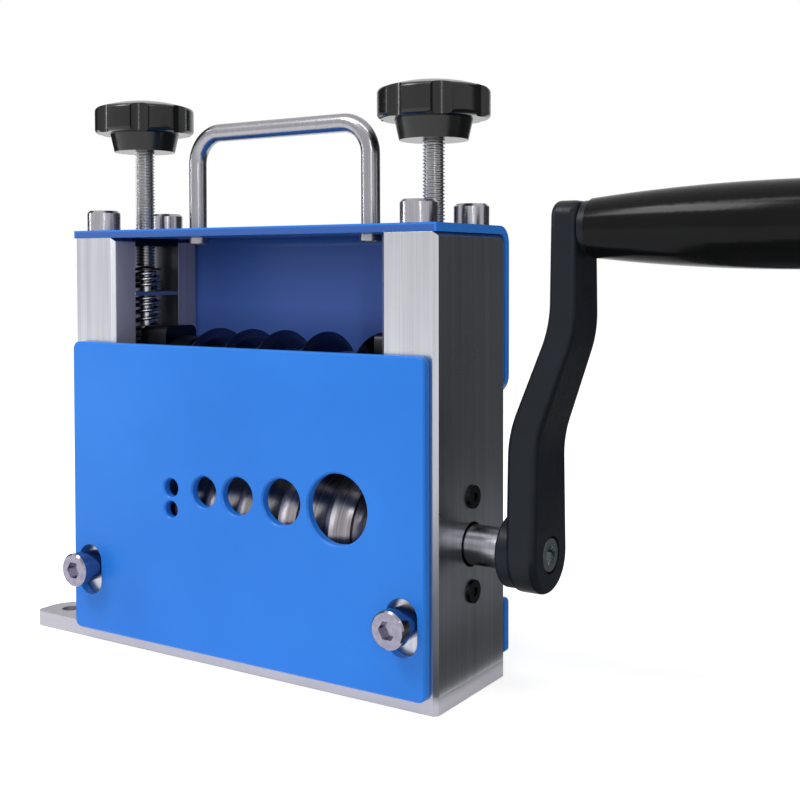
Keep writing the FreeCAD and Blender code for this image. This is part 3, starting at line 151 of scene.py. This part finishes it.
def set_stage():
    """A wide pale floor under the base, whitened where it is seen or mirrored."""
    shape = bmesh.new()
    bmesh.ops.create_grid(shape, x_segments=1, y_segments=1, size=FLOOR_HALF)
    mesh = bpy.data.meshes.new("floor")
    shape.to_mesh(mesh)
    shape.free()
    floor = bpy.data.objects.new("floor", mesh)
    floor.location.z = cad_low.z - FLOOR_GAP
    bpy.context.scene.collection.objects.link(floor)
    material = bpy.data.materials.new("floor_white")
    material.use_nodes = True
    tree = material.node_tree
    surface = tree.nodes["Principled BSDF"]
    surface.inputs["Base Color"].default_value = FLOOR_COLOUR
    surface.inputs["Roughness"].default_value = 0.8
    surface.inputs["Specular IOR Level"].default_value = 0.2
    path = tree.nodes.new("ShaderNodeLightPath")
    seen = add(tree, "Math", {0: path.outputs["Is Camera Ray"], 1: path.outputs["Is Glossy Ray"]},
               operation="MAXIMUM")
    surface.inputs["Emission Color"].default_value = (1, 1, 1, 1)
    level = add(tree, "Math", {0: seen.outputs[0], 1: FLOOR_WHITENING}, operation="MULTIPLY")
    tree.links.new(level.outputs[0], surface.inputs["Emission Strength"])
    mesh.materials.append(material)


CARD_TINT = (0.9, 0.95, 1, 1)


def add_card(name, place, size, level, facing=None):
    """A dark board that only shiny surfaces mirror, turned to the middle unless facing says."""
    shape = bmesh.new()
    bmesh.ops.create_grid(shape, x_segments=1, y_segments=1, size=0.5)
    bmesh.ops.scale(shape, verts=shape.verts, vec=(size[0], size[1], 1))
    facing = Vector(facing or (-place[0], -place[1], 0))
    turn = facing.to_track_quat("Z", "Y").to_matrix()
    bmesh.ops.rotate(shape, verts=shape.verts, cent=(0, 0, 0), matrix=turn)
    bmesh.ops.translate(shape, verts=shape.verts, vec=place)
    mesh = bpy.data.meshes.new(name)
    shape.to_mesh(mesh)
    shape.free()
    card = bpy.data.objects.new(name, mesh)
    bpy.context.scene.collection.objects.link(card)
    material = bpy.data.materials.new(name)
    material.use_nodes = True
    surface = material.node_tree.nodes["Principled BSDF"]
    surface.inputs["Base Color"].default_value = (0, 0, 0, 1)
    surface.inputs["Specular IOR Level"].default_value = 0
    surface.inputs["Emission Color"].default_value = CARD_TINT
    surface.inputs["Emission Strength"].default_value = level
    mesh.materials.append(material)
    card.visible_camera = card.visible_diffuse = False
    card.visible_shadow = card.visible_transmission = False


# Name, place, size, level of light and, for boards on the floor, the way they face
CARDS = (("dark_right", (0.62, 0.93, 0.55), (1.45, 1.5), 0.085),
         ("dark_floor_right", (0.60, 0.50, 0.003), (1.02, 1.3), 0.085, (0, 0, 1)),
         ("grey_floor_near", (0.21, 0.06, 0.005), (0.17, 0.5), 0.19, (0, 0, 1)),
         ("dark_left", (-1.15, 0.12, 0.6), (1.1, 1.3), 0.03))
# Name, place, target, size and watts
LAMPS = (("key_high", (-0.55, -0.95, 1.35), (0, 0, 0.1), (0.5, 0.5), 11),
         ("strip_left", (-1.15, -0.42, 0.5), (0, 0, 0.14), (0.12, 0.8), 4),
         ("strip_right", (1.0, -1.1, 0.6), (0, 0, 0.12), (0.10, 0.7), 2.5),
         ("strip_top", (0.15, -0.45, 1.2), (0.05, 0, 0.12), (1.3, 0.14), 4))


# Shader helpers

def add(tree, kind, links=None, **settings):
    """A shader node with its settings, and its sockets linked or set."""
    made = tree.nodes.new("ShaderNode" + kind)
    for name, setting in settings.items():
        setattr(made, name, setting)
    for socket, source in (links or {}).items():
        if isinstance(source, bpy.types.NodeSocket):
            tree.links.new(source, made.inputs[socket])
        else:
            made.inputs[socket].default_value = source
    return made


def new_group(name, inputs, outputs):
    """A shader node group with typed inputs and outputs."""
    tree = bpy.data.node_groups.new(name, "ShaderNodeTree")
    for title, kind, start in inputs:
        socket = tree.interface.new_socket(title, in_out="INPUT", socket_type="NodeSocket" + kind)
        if start is not None:
            socket.default_value = start
    for title, kind in outputs:
        tree.interface.new_socket(title, in_out="OUTPUT", socket_type="NodeSocket" + kind)
    return tree, tree.nodes.new("NodeGroupInput"), tree.nodes.new("NodeGroupOutput")


def make_grain_group():
    """Fine lines: noise drawn out along one way by the scale of each axis."""
    tree, given, put = new_group(
        "grain_lines",
        [("Vector", "Vector", None), ("Stretch", "Vector", (1, 1, 1)), ("Detail", "Float", 4.0)],
        [("Line", "Float"), ("Cloud", "Float")])
    drawn = add(tree, "VectorMath", {0: given.outputs["Vector"], 1: given.outputs["Stretch"]},
                operation="MULTIPLY")
    lines = add(tree, "TexNoise", {"Vector": drawn.outputs[0], "Scale": 1.0,
                                   "Detail": given.outputs["Detail"], "Roughness": 0.62})
    clouds = add(tree, "TexNoise", {"Vector": given.outputs["Vector"], "Scale": 38.0,
                                    "Detail": 3.0, "Roughness": 0.5})
    tree.links.new(lines.outputs["Fac"], put.inputs["Line"])
    tree.links.new(clouds.outputs["Fac"], put.inputs["Cloud"])
    return tree


def make_turned_group():
    """Rings left by a lathe about the X axis: they follow X and the radius, not the angle."""
    tree, given, put = new_group(
        "turned_rings",
        [("Vector", "Vector", None), ("Scale", "Float", 2500.0)],
        [("Ring", "Float")])
    parts = add(tree, "SeparateXYZ", {0: given.outputs["Vector"]})
    flat = add(tree, "CombineXYZ", {"Y": parts.outputs["Y"], "Z": parts.outputs["Z"]})
    radius = add(tree, "VectorMath", {0: flat.outputs[0]}, operation="LENGTH")
    place = add(tree, "CombineXYZ", {"X": parts.outputs["X"], "Y": radius.outputs["Value"]})
    rings = add(tree, "TexNoise", {"Vector": place.outputs[0], "Scale": given.outputs["Scale"],
                                   "Detail": 3.0, "Roughness": 0.6})
    tree.links.new(rings.outputs["Fac"], put.inputs["Ring"])
    return tree


def make_marks_group():
    """Handling marks: a broad mask and a fine one, both 0 to 1."""
    tree, given, put = new_group(
        "handling_marks",
        [("Vector", "Vector", None), ("Broad Scale", "Float", 30.0),
         ("Fine Scale", "Float", 900.0)],
        [("Broad", "Float"), ("Fine", "Float")])
    for title, detail, rough in (("Broad", 4.0, 0.55), ("Fine", 5.0, 0.6)):
        noise = add(tree, "TexNoise", {"Vector": given.outputs["Vector"],
                                       "Scale": given.outputs[title + " Scale"],
                                       "Detail": detail, "Roughness": rough})
        spread = add(tree, "MapRange", {"Value": noise.outputs["Fac"], "From Min": 0.3,
                                        "From Max": 0.7})
        tree.links.new(spread.outputs["Result"], put.inputs[title])
    return tree


GRAIN = make_grain_group()
TURNED = make_turned_group()
MARKS = make_marks_group()


def group(tree, made, links):
    """A node that places a group."""
    placed = tree.nodes.new("ShaderNodeGroup")
    placed.node_tree = made
    for socket, source in links.items():
        if isinstance(source, bpy.types.NodeSocket):
            tree.links.new(source, placed.inputs[socket])
        else:
            placed.inputs[socket].default_value = source
    return placed


def new_material(name, metallic=0.0, **constants):
    """A material with its tree, its Principled shader and the object's coordinates."""
    material = bpy.data.materials.new(name)
    material.use_nodes = True
    tree = material.node_tree
    surface = tree.nodes["Principled BSDF"]
    surface.inputs["Metallic"].default_value = metallic
    for title, number in constants.items():
        surface.inputs[title.replace("_", " ").title().replace("Ior", "IOR")].default_value = number
    place = tree.nodes.new("ShaderNodeTexCoord").outputs["Object"]
    return material, tree, surface, place


def ranged(tree, source, low, high):
    """A mask's 0 to 1 as a value from low to high."""
    return add(tree, "MapRange", {"Value": source, "To Min": low, "To Max": high}).outputs["Result"]


def tinted(tree, source, first, last):
    """A mask's 0 to 1 as a colour from first to last."""
    mix = add(tree, "Mix", {0: source}, data_type="RGBA")
    mix.inputs[6].default_value = (*first, 1)
    mix.inputs[7].default_value = (*last, 1)
    return mix.outputs[2]


def raise_bump(tree, surface, source, distance, strength):
    """A mask as fine relief, up to a distance in metres."""
    bump = add(tree, "Bump", {"Height": source, "Distance": distance, "Strength": strength})
    tree.links.new(bump.outputs["Normal"], surface.inputs["Normal"])


# Finishes

def within_corner(tree, place, corner):
    """1 where a place is below a corner and before it, with X taken either way, else 0."""
    parts = add(tree, "SeparateXYZ", {0: place})
    span = add(tree, "Math", {0: parts.outputs["X"]}, operation="ABSOLUTE")
    mask = add(tree, "Math", {0: span.outputs[0], 1: corner.x}, operation="LESS_THAN")
    for axis, limit in (("Y", corner.y), ("Z", corner.z)):
        within = add(tree, "Math", {0: parts.outputs[axis], 1: limit}, operation="LESS_THAN")
        mask = add(tree, "Math", {0: mask.outputs[0], 1: within.outputs[0]}, operation="MULTIPLY")
    return mask.outputs[0]


# Half the cover's sheet, and the depths below its top between which painted shade darkens its inner
# paint
HALF_SHEET = 0.7 * MM
PAINTED_SHADE_DEPTHS = 30 * MM, 3 * MM


def blue_paint(name, inside=None):
    """Smooth sheet paint with faint clouds and orange peel; inside a corner, painted shade makes it
    lighter low down and darker towards the top.
    """
    material, tree, surface, place = new_material(name, coat_weight=0.06, coat_roughness=0.1,
                                                  specular_ior_level=0.2)
    marks = group(tree, MARKS, {"Vector": place, "Broad Scale": 14.0, "Fine Scale": 1400.0})
    paint = tinted(tree, marks.outputs["Broad"], (0.015, 0.176, 0.660), (0.023, 0.208, 0.735))
    if inside:
        # Painted shade under the cover's top: the inner paint goes from lighter low down to darker
        # near the top
        parts = add(tree, "SeparateXYZ", {0: place})
        deep, shallow = PAINTED_SHADE_DEPTHS
        height = add(tree, "MapRange", {"Value": parts.outputs["Z"], "From Min": inside.z - deep,
                                        "From Max": inside.z - shallow})
        painted_shade = tinted(tree, height.outputs["Result"], (0.130, 0.270, 0.860), (0.032, 0.105, 0.370))
        mask = within_corner(tree, place, inside)
        mix = add(tree, "Mix", {0: mask, 6: paint, 7: painted_shade}, data_type="RGBA")
        paint = mix.outputs[2]
    tree.links.new(paint, surface.inputs["Base Color"])
    tree.links.new(ranged(tree, marks.outputs["Fine"], 0.34, 0.42), surface.inputs["Roughness"])
    raise_bump(tree, surface, marks.outputs["Fine"], 0.000010, 0.5)
    return material


# How far past its inner face a block still has the dull finish with painted shade
FACE_GAP = 0.2 * MM


def brushed_aluminium():
    """Milled and brushed blocks: lines run up and down, and the inner faces are left dull, with
    painted shade and a painted blue reflection in their colour.
    """
    material, tree, surface, place = new_material("brushed_block", metallic=1.0)
    grain = group(tree, GRAIN, {"Vector": place, "Stretch": (2200.0, 2200.0, 14.0)})
    bands = group(tree, GRAIN, {"Vector": place, "Stretch": (260.0, 260.0, 5.0), "Detail": 2.0})
    blend = add(tree, "Math", {0: grain.outputs["Line"], 1: bands.outputs["Line"]}, operation="ADD")
    mask = add(tree, "MapRange", {"Value": blend.outputs[0], "From Min": 0.55, "From Max": 1.45})
    parts = add(tree, "SeparateXYZ", {0: place})
    span = add(tree, "Math", {0: parts.outputs["X"]}, operation="ABSOLUTE")
    dull_and_shaded = add(tree, "Math", {0: span.outputs[0], 1: BLOCK_INNER + FACE_GAP},
               operation="LESS_THAN").outputs[0]
    # The inner faces' darker, bluish colour and lower metallic are painted shade and a painted
    # reflection of the blue paint; their added roughness is the milled finish
    bright_colour = tinted(tree, mask.outputs["Result"], (0.36, 0.37, 0.40), (0.57, 0.58, 0.62))
    shaded_dull_colour = tinted(tree, mask.outputs["Result"], (0.34, 0.33, 0.40), (0.46, 0.45, 0.53))
    colour = add(tree, "Mix", {0: dull_and_shaded, 6: bright_colour, 7: shaded_dull_colour}, data_type="RGBA")
    tree.links.new(colour.outputs[2], surface.inputs["Base Color"])
    tree.links.new(ranged(tree, dull_and_shaded, 1.0, 0.35), surface.inputs["Metallic"])
    rough = add(tree, "Math", {0: ranged(tree, grain.outputs["Cloud"], 0.24, 0.34),
                               1: ranged(tree, dull_and_shaded, 0.0, 0.25)}, operation="ADD")
    tree.links.new(rough.outputs[0], surface.inputs["Roughness"])
    raise_bump(tree, surface, grain.outputs["Line"], 0.00002, 0.5)
    return material


def satin_base():
    """Base plate with fine lines along its length."""
    material, tree, surface, place = new_material("satin_base_plate", metallic=1.0)
    grain = group(tree, GRAIN, {"Vector": place, "Stretch": (30.0, 2400.0, 2400.0)})
    tree.links.new(tinted(tree, grain.outputs["Line"], (0.33, 0.325, 0.36), (0.46, 0.45, 0.49)),
                   surface.inputs["Base Color"])
    tree.links.new(ranged(tree, grain.outputs["Cloud"], 0.36, 0.5), surface.inputs["Roughness"])
    raise_bump(tree, surface, grain.outputs["Line"], 0.00002, 0.4)
    return material


def polished(name, first, last, rough, stretch=(900.0, 900.0, 900.0), depth=0.000006):
    """Bright metal with fine polishing lines."""
    material, tree, surface, place = new_material(name, metallic=1.0)
    grain = group(tree, GRAIN, {"Vector": place, "Stretch": stretch})
    tree.links.new(tinted(tree, grain.outputs["Line"], first, last), surface.inputs["Base Color"])
    tree.links.new(ranged(tree, grain.outputs["Cloud"], rough, rough + 0.10),
                   surface.inputs["Roughness"])
    raise_bump(tree, surface, grain.outputs["Line"], depth, 0.5)
    return material


def from_axis(tree, place, height):
    """Places seen from a shaft's axis at a height."""
    return add(tree, "Mapping", {"Vector": place, "Location": (0, 0, -height)}).outputs["Vector"]


def turned_metal(name, height, first, last, rough):
    """Metal turned about a shaft's axis at a height."""
    material, tree, surface, place = new_material(name, metallic=1.0)
    turned = group(tree, TURNED, {"Vector": from_axis(tree, place, height), "Scale": 2500.0})
    tree.links.new(tinted(tree, turned.outputs["Ring"], first, last), surface.inputs["Base Color"])
    marks = group(tree, MARKS, {"Vector": place})
    tree.links.new(ranged(tree, marks.outputs["Broad"], rough, rough + 0.12),
                   surface.inputs["Roughness"])
    raise_bump(tree, surface, turned.outputs["Ring"], 0.00001, 0.5)
    return material


def turned_roller():
    """Roller with the fine and the broad rings of its turning."""
    material, tree, surface, place = new_material("turned_roller", metallic=1.0)
    centred = from_axis(tree, place, SHAFT_HEIGHT)
    turned = group(tree, TURNED, {"Vector": centred, "Scale": 1500.0})
    wide = group(tree, TURNED, {"Vector": centred, "Scale": 260.0})
    blend = add(tree, "Math", {0: turned.outputs["Ring"], 1: wide.outputs["Ring"]}, operation="ADD")
    mask = add(tree, "MapRange", {"Value": blend.outputs[0], "From Min": 0.75, "From Max": 1.25})
    tree.links.new(tinted(tree, mask.outputs["Result"], (0.17, 0.16, 0.175), (0.36, 0.34, 0.36)),
                   surface.inputs["Base Color"])
    tree.links.new(ranged(tree, turned.outputs["Ring"], 0.22, 0.38), surface.inputs["Roughness"])
    raise_bump(tree, surface, blend.outputs[0], 0.00003, 0.6)
    return material


def black_plastic(name, colour, rough, fine_depth, gloss):
    """Moulded plastic with faint flow marks and a fine skin."""
    material, tree, surface, place = new_material(name, specular_ior_level=gloss)
    marks = group(tree, MARKS, {"Vector": place, "Broad Scale": 45.0, "Fine Scale": 2200.0})
    lighter = tuple(1.35 * part for part in colour)
    tree.links.new(tinted(tree, marks.outputs["Broad"], colour, lighter),
                   surface.inputs["Base Color"])
    tree.links.new(ranged(tree, marks.outputs["Fine"], rough, rough + 0.08),
                   surface.inputs["Roughness"])
    raise_bump(tree, surface, marks.outputs["Fine"], fine_depth, 0.6)
    return material


def black_casting():
    """Painted casting: a slightly rough skin under satin black."""
    material, tree, surface, place = new_material("black_casting", specular_ior_level=0.16)
    marks = group(tree, MARKS, {"Vector": place, "Broad Scale": 60.0, "Fine Scale": 700.0})
    skin = tinted(tree, marks.outputs["Broad"], (0.0055, 0.0080, 0.0125), (0.0080, 0.0110, 0.0165))
    tree.links.new(skin, surface.inputs["Base Color"])
    tree.links.new(ranged(tree, marks.outputs["Fine"], 0.30, 0.42), surface.inputs["Roughness"])
    raise_bump(tree, surface, marks.outputs["Fine"], 0.00006, 0.6)
    return material


def sintered_bronze():
    """Grainy bearing bronze."""
    material, tree, surface, place = new_material("sintered_bronze", metallic=1.0)
    marks = group(tree, MARKS, {"Vector": place, "Fine Scale": 1500.0})
    tree.links.new(tinted(tree, marks.outputs["Fine"], (0.38, 0.27, 0.14), (0.60, 0.44, 0.24)),
                   surface.inputs["Base Color"])
    tree.links.new(ranged(tree, marks.outputs["Broad"], 0.34, 0.5), surface.inputs["Roughness"])
    raise_bump(tree, surface, marks.outputs["Fine"], 0.00003, 0.6)
    return material


FINISHES = {
    "blue_sheet": blue_paint("blue_sheet_paint"),
    "side_block": brushed_aluminium(),
    "base": satin_base(),
    "bright_screw": polished("bright_screw", (0.22, 0.215, 0.245), (0.50, 0.49, 0.53), 0.16,
                             (1100.0, 1100.0, 40.0), 0.00003),
    "dark_screw": polished("black_oxide_screw", (0.010, 0.012, 0.015), (0.022, 0.025, 0.030), 0.28),
    "handle_rod": polished("polished_rod", (0.22, 0.215, 0.235), (0.38, 0.37, 0.40), 0.20,
                           (1200.0, 1200.0, 30.0)),
    "threaded_rod": polished("zinc_thread", (0.27, 0.27, 0.275), (0.58, 0.57, 0.58), 0.22),
    "spring_steel": polished("spring_wire", (0.30, 0.30, 0.31), (0.55, 0.55, 0.57), 0.20),
    "dark_steel": polished("blackened_steel", (0.020, 0.021, 0.026), (0.05, 0.052, 0.062), 0.28),
    "bearing_bronze": sintered_bronze(),
    "roller_steel": turned_metal("turned_shaft", SHAFT_HEIGHT, (0.21, 0.21, 0.23),
                                 (0.38, 0.38, 0.41), 0.18),
    # The discs' blue-purple tint is a painted reflection of the blue paint around them
    "tool_steel": turned_metal("ground_disc", ARBOR_HEIGHT, (0.050, 0.055, 0.085),
                               (0.110, 0.120, 0.170), 0.20),
    "crank_cast": black_casting(),
    "knob_plastic": black_plastic("moulded_knob", (0.0042, 0.0044, 0.0048), 0.17, 0.000010, 0.42),
    "grip_plastic": black_plastic("polished_grip", (0.0036, 0.0037, 0.0040), 0.12, 0.000004, 0.10),
}
# Pieces whose finish differs from the rest of their slot
ARBOR_FINISH = turned_metal("turned_arbor", ARBOR_HEIGHT, (0.10, 0.10, 0.11),
                            (0.24, 0.24, 0.26), 0.2)
SEAT_FINISH = polished("seat_plate", (0.30, 0.30, 0.31), (0.55, 0.55, 0.57), 0.22)
NODE_FINISHES = {
    # The cover's inner paint carries painted shade under its top
    "top_rear_cover": blue_paint("blue_cover_paint_with_painted_shade",
                                 COVER_HIGH - Vector((HALF_SHEET, HALF_SHEET, HALF_SHEET))),
    "feed_roller": turned_roller(),
    "blade_shaft": ARBOR_FINISH,
    "disc_spacers": ARBOR_FINISH,
    # The purple tint of these screws is a painted reflection of the blue panel
    "front_shoulder_screws": polished("shoulder_screw", (0.15, 0.14, 0.19),
                                      (0.36, 0.34, 0.41), 0.12, (500.0, 60.0, 500.0), 0.00001),
    "crank_retaining_screw": polished("retaining_screw", (0.14, 0.16, 0.165),
                                      (0.34, 0.37, 0.38), 0.14),
    "spring_seat_plates": SEAT_FINISH,
    "handle_screws": SEAT_FINISH,
}


# Adjusting screws with their real threads

THREAD_PITCH, THREAD_RADIUS, THREAD_ROOT = 1.25 * MM, 4.0 * MM, 3.35 * MM
THREAD_END = 149 * MM    # lowest turn, above the ring and the upper spring
PIN_RADIUS, COLLAR_HEIGHT, RIM_EDGE = 3.25 * MM, 1.8 * MM, 0.2 * MM
LEAD_IN, LEAD_CAP = 0.3 * MM, 0.8 * MM
STEPS_A_TURN, PIN_STEPS = 28, 48
MERGE_GAP = 0.001 * MM


def finish_piece(shape, name, slot, body, *nodes):
    """Links a finished mesh, which rides on its body and stands for its nodes."""
    bmesh.ops.remove_doubles(shape, verts=shape.verts, dist=MERGE_GAP)
    bmesh.ops.recalc_face_normals(shape, faces=shape.faces)
    mesh = bpy.data.meshes.new(name)
    shape.to_mesh(mesh)
    shape.free()
    mesh.materials.append(FINISHES[slot])
    piece = bpy.data.objects.new(name, mesh)
    bpy.context.scene.collection.objects.link(piece)
    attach(piece, body)
    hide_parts(*nodes)
    return piece


def add_chain(shape, points):
    """Joined edges through points, ready to be spun."""
    verts = [shape.verts.new(point) for point in points]
    edges = [shape.edges.new(pair) for pair in zip(verts, verts[1:])]
    return verts + edges


def thread_screw(side):
    """Screw whose ridge winds up into the knob, over a plain pin with a collar at its foot."""
    low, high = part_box(side + "_adjusting_screw")
    top = high.z
    turns = int((top - THREAD_END) / THREAD_PITCH) - 1
    centre = Vector(((low.x + high.x) / 2, 0, 0))
    shape = bmesh.new()
    flat = THREAD_PITCH / 8
    profile = ((THREAD_ROOT, 0), (THREAD_ROOT, flat), (THREAD_RADIUS, THREAD_PITCH / 2),
               (THREAD_RADIUS, THREAD_PITCH / 2 + flat), (THREAD_ROOT, THREAD_PITCH))
    ridge = add_chain(shape, [centre + Vector((radius, 0, THREAD_END + height))
                              for radius, height in profile])
    steps = STEPS_A_TURN * turns
    bmesh.ops.spin(shape, geom=ridge, cent=centre, axis=(0, 0, 1), steps=steps,
                   angle=2 * math.pi * turns, dvec=(0, 0, THREAD_PITCH / STEPS_A_TURN))
    bmesh.ops.remove_doubles(shape, verts=shape.verts, dist=MERGE_GAP)
    for at_top in (False, True):
        rim = [edge for edge in shape.edges if edge.is_boundary
               and (edge.verts[0].co.z > (top + THREAD_END) / 2) == at_top]
        height = sum(edge.verts[0].co.z for edge in rim) / len(rim)
        hub = shape.verts.new(centre + Vector((0, 0, height)))
        for edge in rim:
            shape.faces.new((hub, *edge.verts))
    collar = (high.x - low.x) / 2
    collar_top = low.z + COLLAR_HEIGHT
    pin = add_chain(shape, [centre + Vector((radius, 0, height)) for radius, height in (
        (0, low.z), (collar - RIM_EDGE, low.z), (collar, low.z + RIM_EDGE),
        (collar, collar_top - RIM_EDGE), (collar - RIM_EDGE, collar_top), (PIN_RADIUS, collar_top),
        (PIN_RADIUS, THREAD_END), (THREAD_RADIUS - LEAD_IN, THREAD_END),
        (THREAD_RADIUS - LEAD_IN / 3, THREAD_END + LEAD_IN), (0, THREAD_END + LEAD_CAP))])
    bmesh.ops.spin(shape, geom=pin, cent=centre, axis=(0, 0, 1), steps=PIN_STEPS,
                   angle=2 * math.pi, use_merge=True)
    piece = finish_piece(shape, side + "_screw_thread", "threaded_rod", side + "_screw",
                         side + "_adjusting_screw")
    smooth_piece(piece)


# Main springs, which ride on the bearing carriage

SPRING_WIRE, SPRING_TURNS, SPRING_END_PITCH = 1.6 * MM, 7, 2.15 * MM
STEPS_A_COIL, WIRE_SIDES = 28, 14


def main_spring(side):
    """One unbroken coil with close turns at both ends, squashed by the press of the blades."""
    low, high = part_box(side + "_main_spring")
    centre = Vector(((low.x + high.x) / 2, 0, low.z + SPRING_WIRE / 2))
    radius = (high.x - low.x - SPRING_WIRE) / 2
    height = high.z - low.z - SPRING_WIRE
    extra = 2 * (height / SPRING_TURNS - SPRING_END_PITCH)

    def climb(turned_by):
        share = 2 * math.pi * turned_by / SPRING_TURNS
        swell = turned_by / 2 - SPRING_TURNS * math.sin(share) / (4 * math.pi)
        return SPRING_END_PITCH * turned_by + extra * swell

    shape = bmesh.new()
    upright = Matrix.Rotation(math.pi / 2, 3, "X")
    bmesh.ops.create_circle(shape, cap_ends=True, segments=WIRE_SIDES, radius=SPRING_WIRE / 2)
    bmesh.ops.rotate(shape, verts=shape.verts, cent=(0, 0, 0), matrix=upright)
    bmesh.ops.translate(shape, verts=shape.verts, vec=centre + Vector((radius, 0, 0)))
    end = next(iter(shape.faces))
    for step in range(STEPS_A_COIL * SPRING_TURNS):
        rise = climb((step + 1) / STEPS_A_COIL) - climb(step / STEPS_A_COIL)
        made = bmesh.ops.spin(shape, geom=[*end.verts, *end.edges, end], cent=centre,
                              axis=(0, 0, 1), steps=1, angle=2 * math.pi / STEPS_A_COIL,
                              dvec=(0, 0, rise))
        end = next(part for part in made["geom_last"] if isinstance(part, bmesh.types.BMFace))
    piece = finish_piece(shape, side + "_spring_coil", "spring_steel", "bearing_carriage",
                         side + "_main_spring")
    smooth_piece(piece)
    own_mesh(piece)


# Smooth shading with crisp edges

SHARP_ANGLE, BROKEN_ANGLE, FLAT_ANGLE = math.radians(35), math.radians(50), math.radians(1)


def make_smooth_modifier():
    """Geometry nodes that smooth all faces but keep the sharpest edges."""
    tree = bpy.data.node_groups.new("smooth_by_angle", "GeometryNodeTree")
    tree.interface.new_socket("Geometry", in_out="INPUT", socket_type="NodeSocketGeometry")
    tree.interface.new_socket("Geometry", in_out="OUTPUT", socket_type="NodeSocketGeometry")
    given, put = tree.nodes.new("NodeGroupInput"), tree.nodes.new("NodeGroupOutput")
    faces = tree.nodes.new("GeometryNodeSetShadeSmooth")
    faces.domain = "FACE"
    edges = tree.nodes.new("GeometryNodeSetShadeSmooth")
    edges.domain = "EDGE"
    edges.inputs["Shade Smooth"].default_value = False
    angle = tree.nodes.new("GeometryNodeInputMeshEdgeAngle")
    wide = tree.nodes.new("FunctionNodeCompare")
    wide.operation = "GREATER_THAN"
    wide.inputs["B"].default_value = SHARP_ANGLE
    tree.links.new(given.outputs[0], faces.inputs["Geometry"])
    tree.links.new(faces.outputs["Geometry"], edges.inputs["Geometry"])
    tree.links.new(angle.outputs["Unsigned Angle"], wide.inputs["A"])
    tree.links.new(wide.outputs["Result"], edges.inputs["Selection"])
    tree.links.new(edges.outputs["Geometry"], put.inputs[0])
    return tree


SMOOTH = make_smooth_modifier()


def smooth_piece(piece):
    """Smooth shading that leaves broad faces flat."""
    piece.modifiers.new("smooth", "NODES").node_group = SMOOTH
    weighted = piece.modifiers.new("weighted", "WEIGHTED_NORMAL")
    weighted.keep_sharp = True


# Widths to which the sharp edges of sheets, blocks and plates are broken, in metres
BROKEN_EDGES = {"front_panel": 0.5 * MM, "top_rear_cover": 0.4 * MM, "rear_lower_panel": 0.4 * MM,
                "left_side_block": 0.35 * MM, "right_side_block": 0.35 * MM, "base_plate": 0.5 * MM,
                "spring_seat_plates": 0.2 * MM, "screw_insert_plates": 0.2 * MM}
WELD_GAP = 0.002 * MM


def finish_nodes():
    """Gives every node of the frame its finish, broken edges and smooth shading."""
    slots = {part["node"]: part["material_slot"] for part in frame["record"]["subparts"]}
    for name, part in NODES.items():
        part.data.materials.clear()
        part.data.materials.append(NODE_FINISHES.get(name, FINISHES[slots[name]]))
        weld = part.modifiers.new("weld", "WELD")
        weld.merge_threshold = WELD_GAP
        if name in BROKEN_EDGES:
            flatten = part.modifiers.new("flatten", "DECIMATE")
            flatten.decimate_type = "DISSOLVE"
            flatten.angle_limit = FLAT_ANGLE
            edges = part.modifiers.new("edges", "BEVEL")
            edges.width, edges.segments = BROKEN_EDGES[name], 3
            edges.limit_method, edges.angle_limit = "ANGLE", BROKEN_ANGLE
        smooth_piece(part)


set_camera()
set_world()
set_stage()
for card in CARDS:
    add_card(*card)
for lamp in LAMPS:
    add_lamp(*lamp)
for build in (thread_screw, main_spring):
    for side in ("left", "right"):
        build(side)
finish_nodes()

bpy.context.scene.view_settings.view_transform = "Standard"
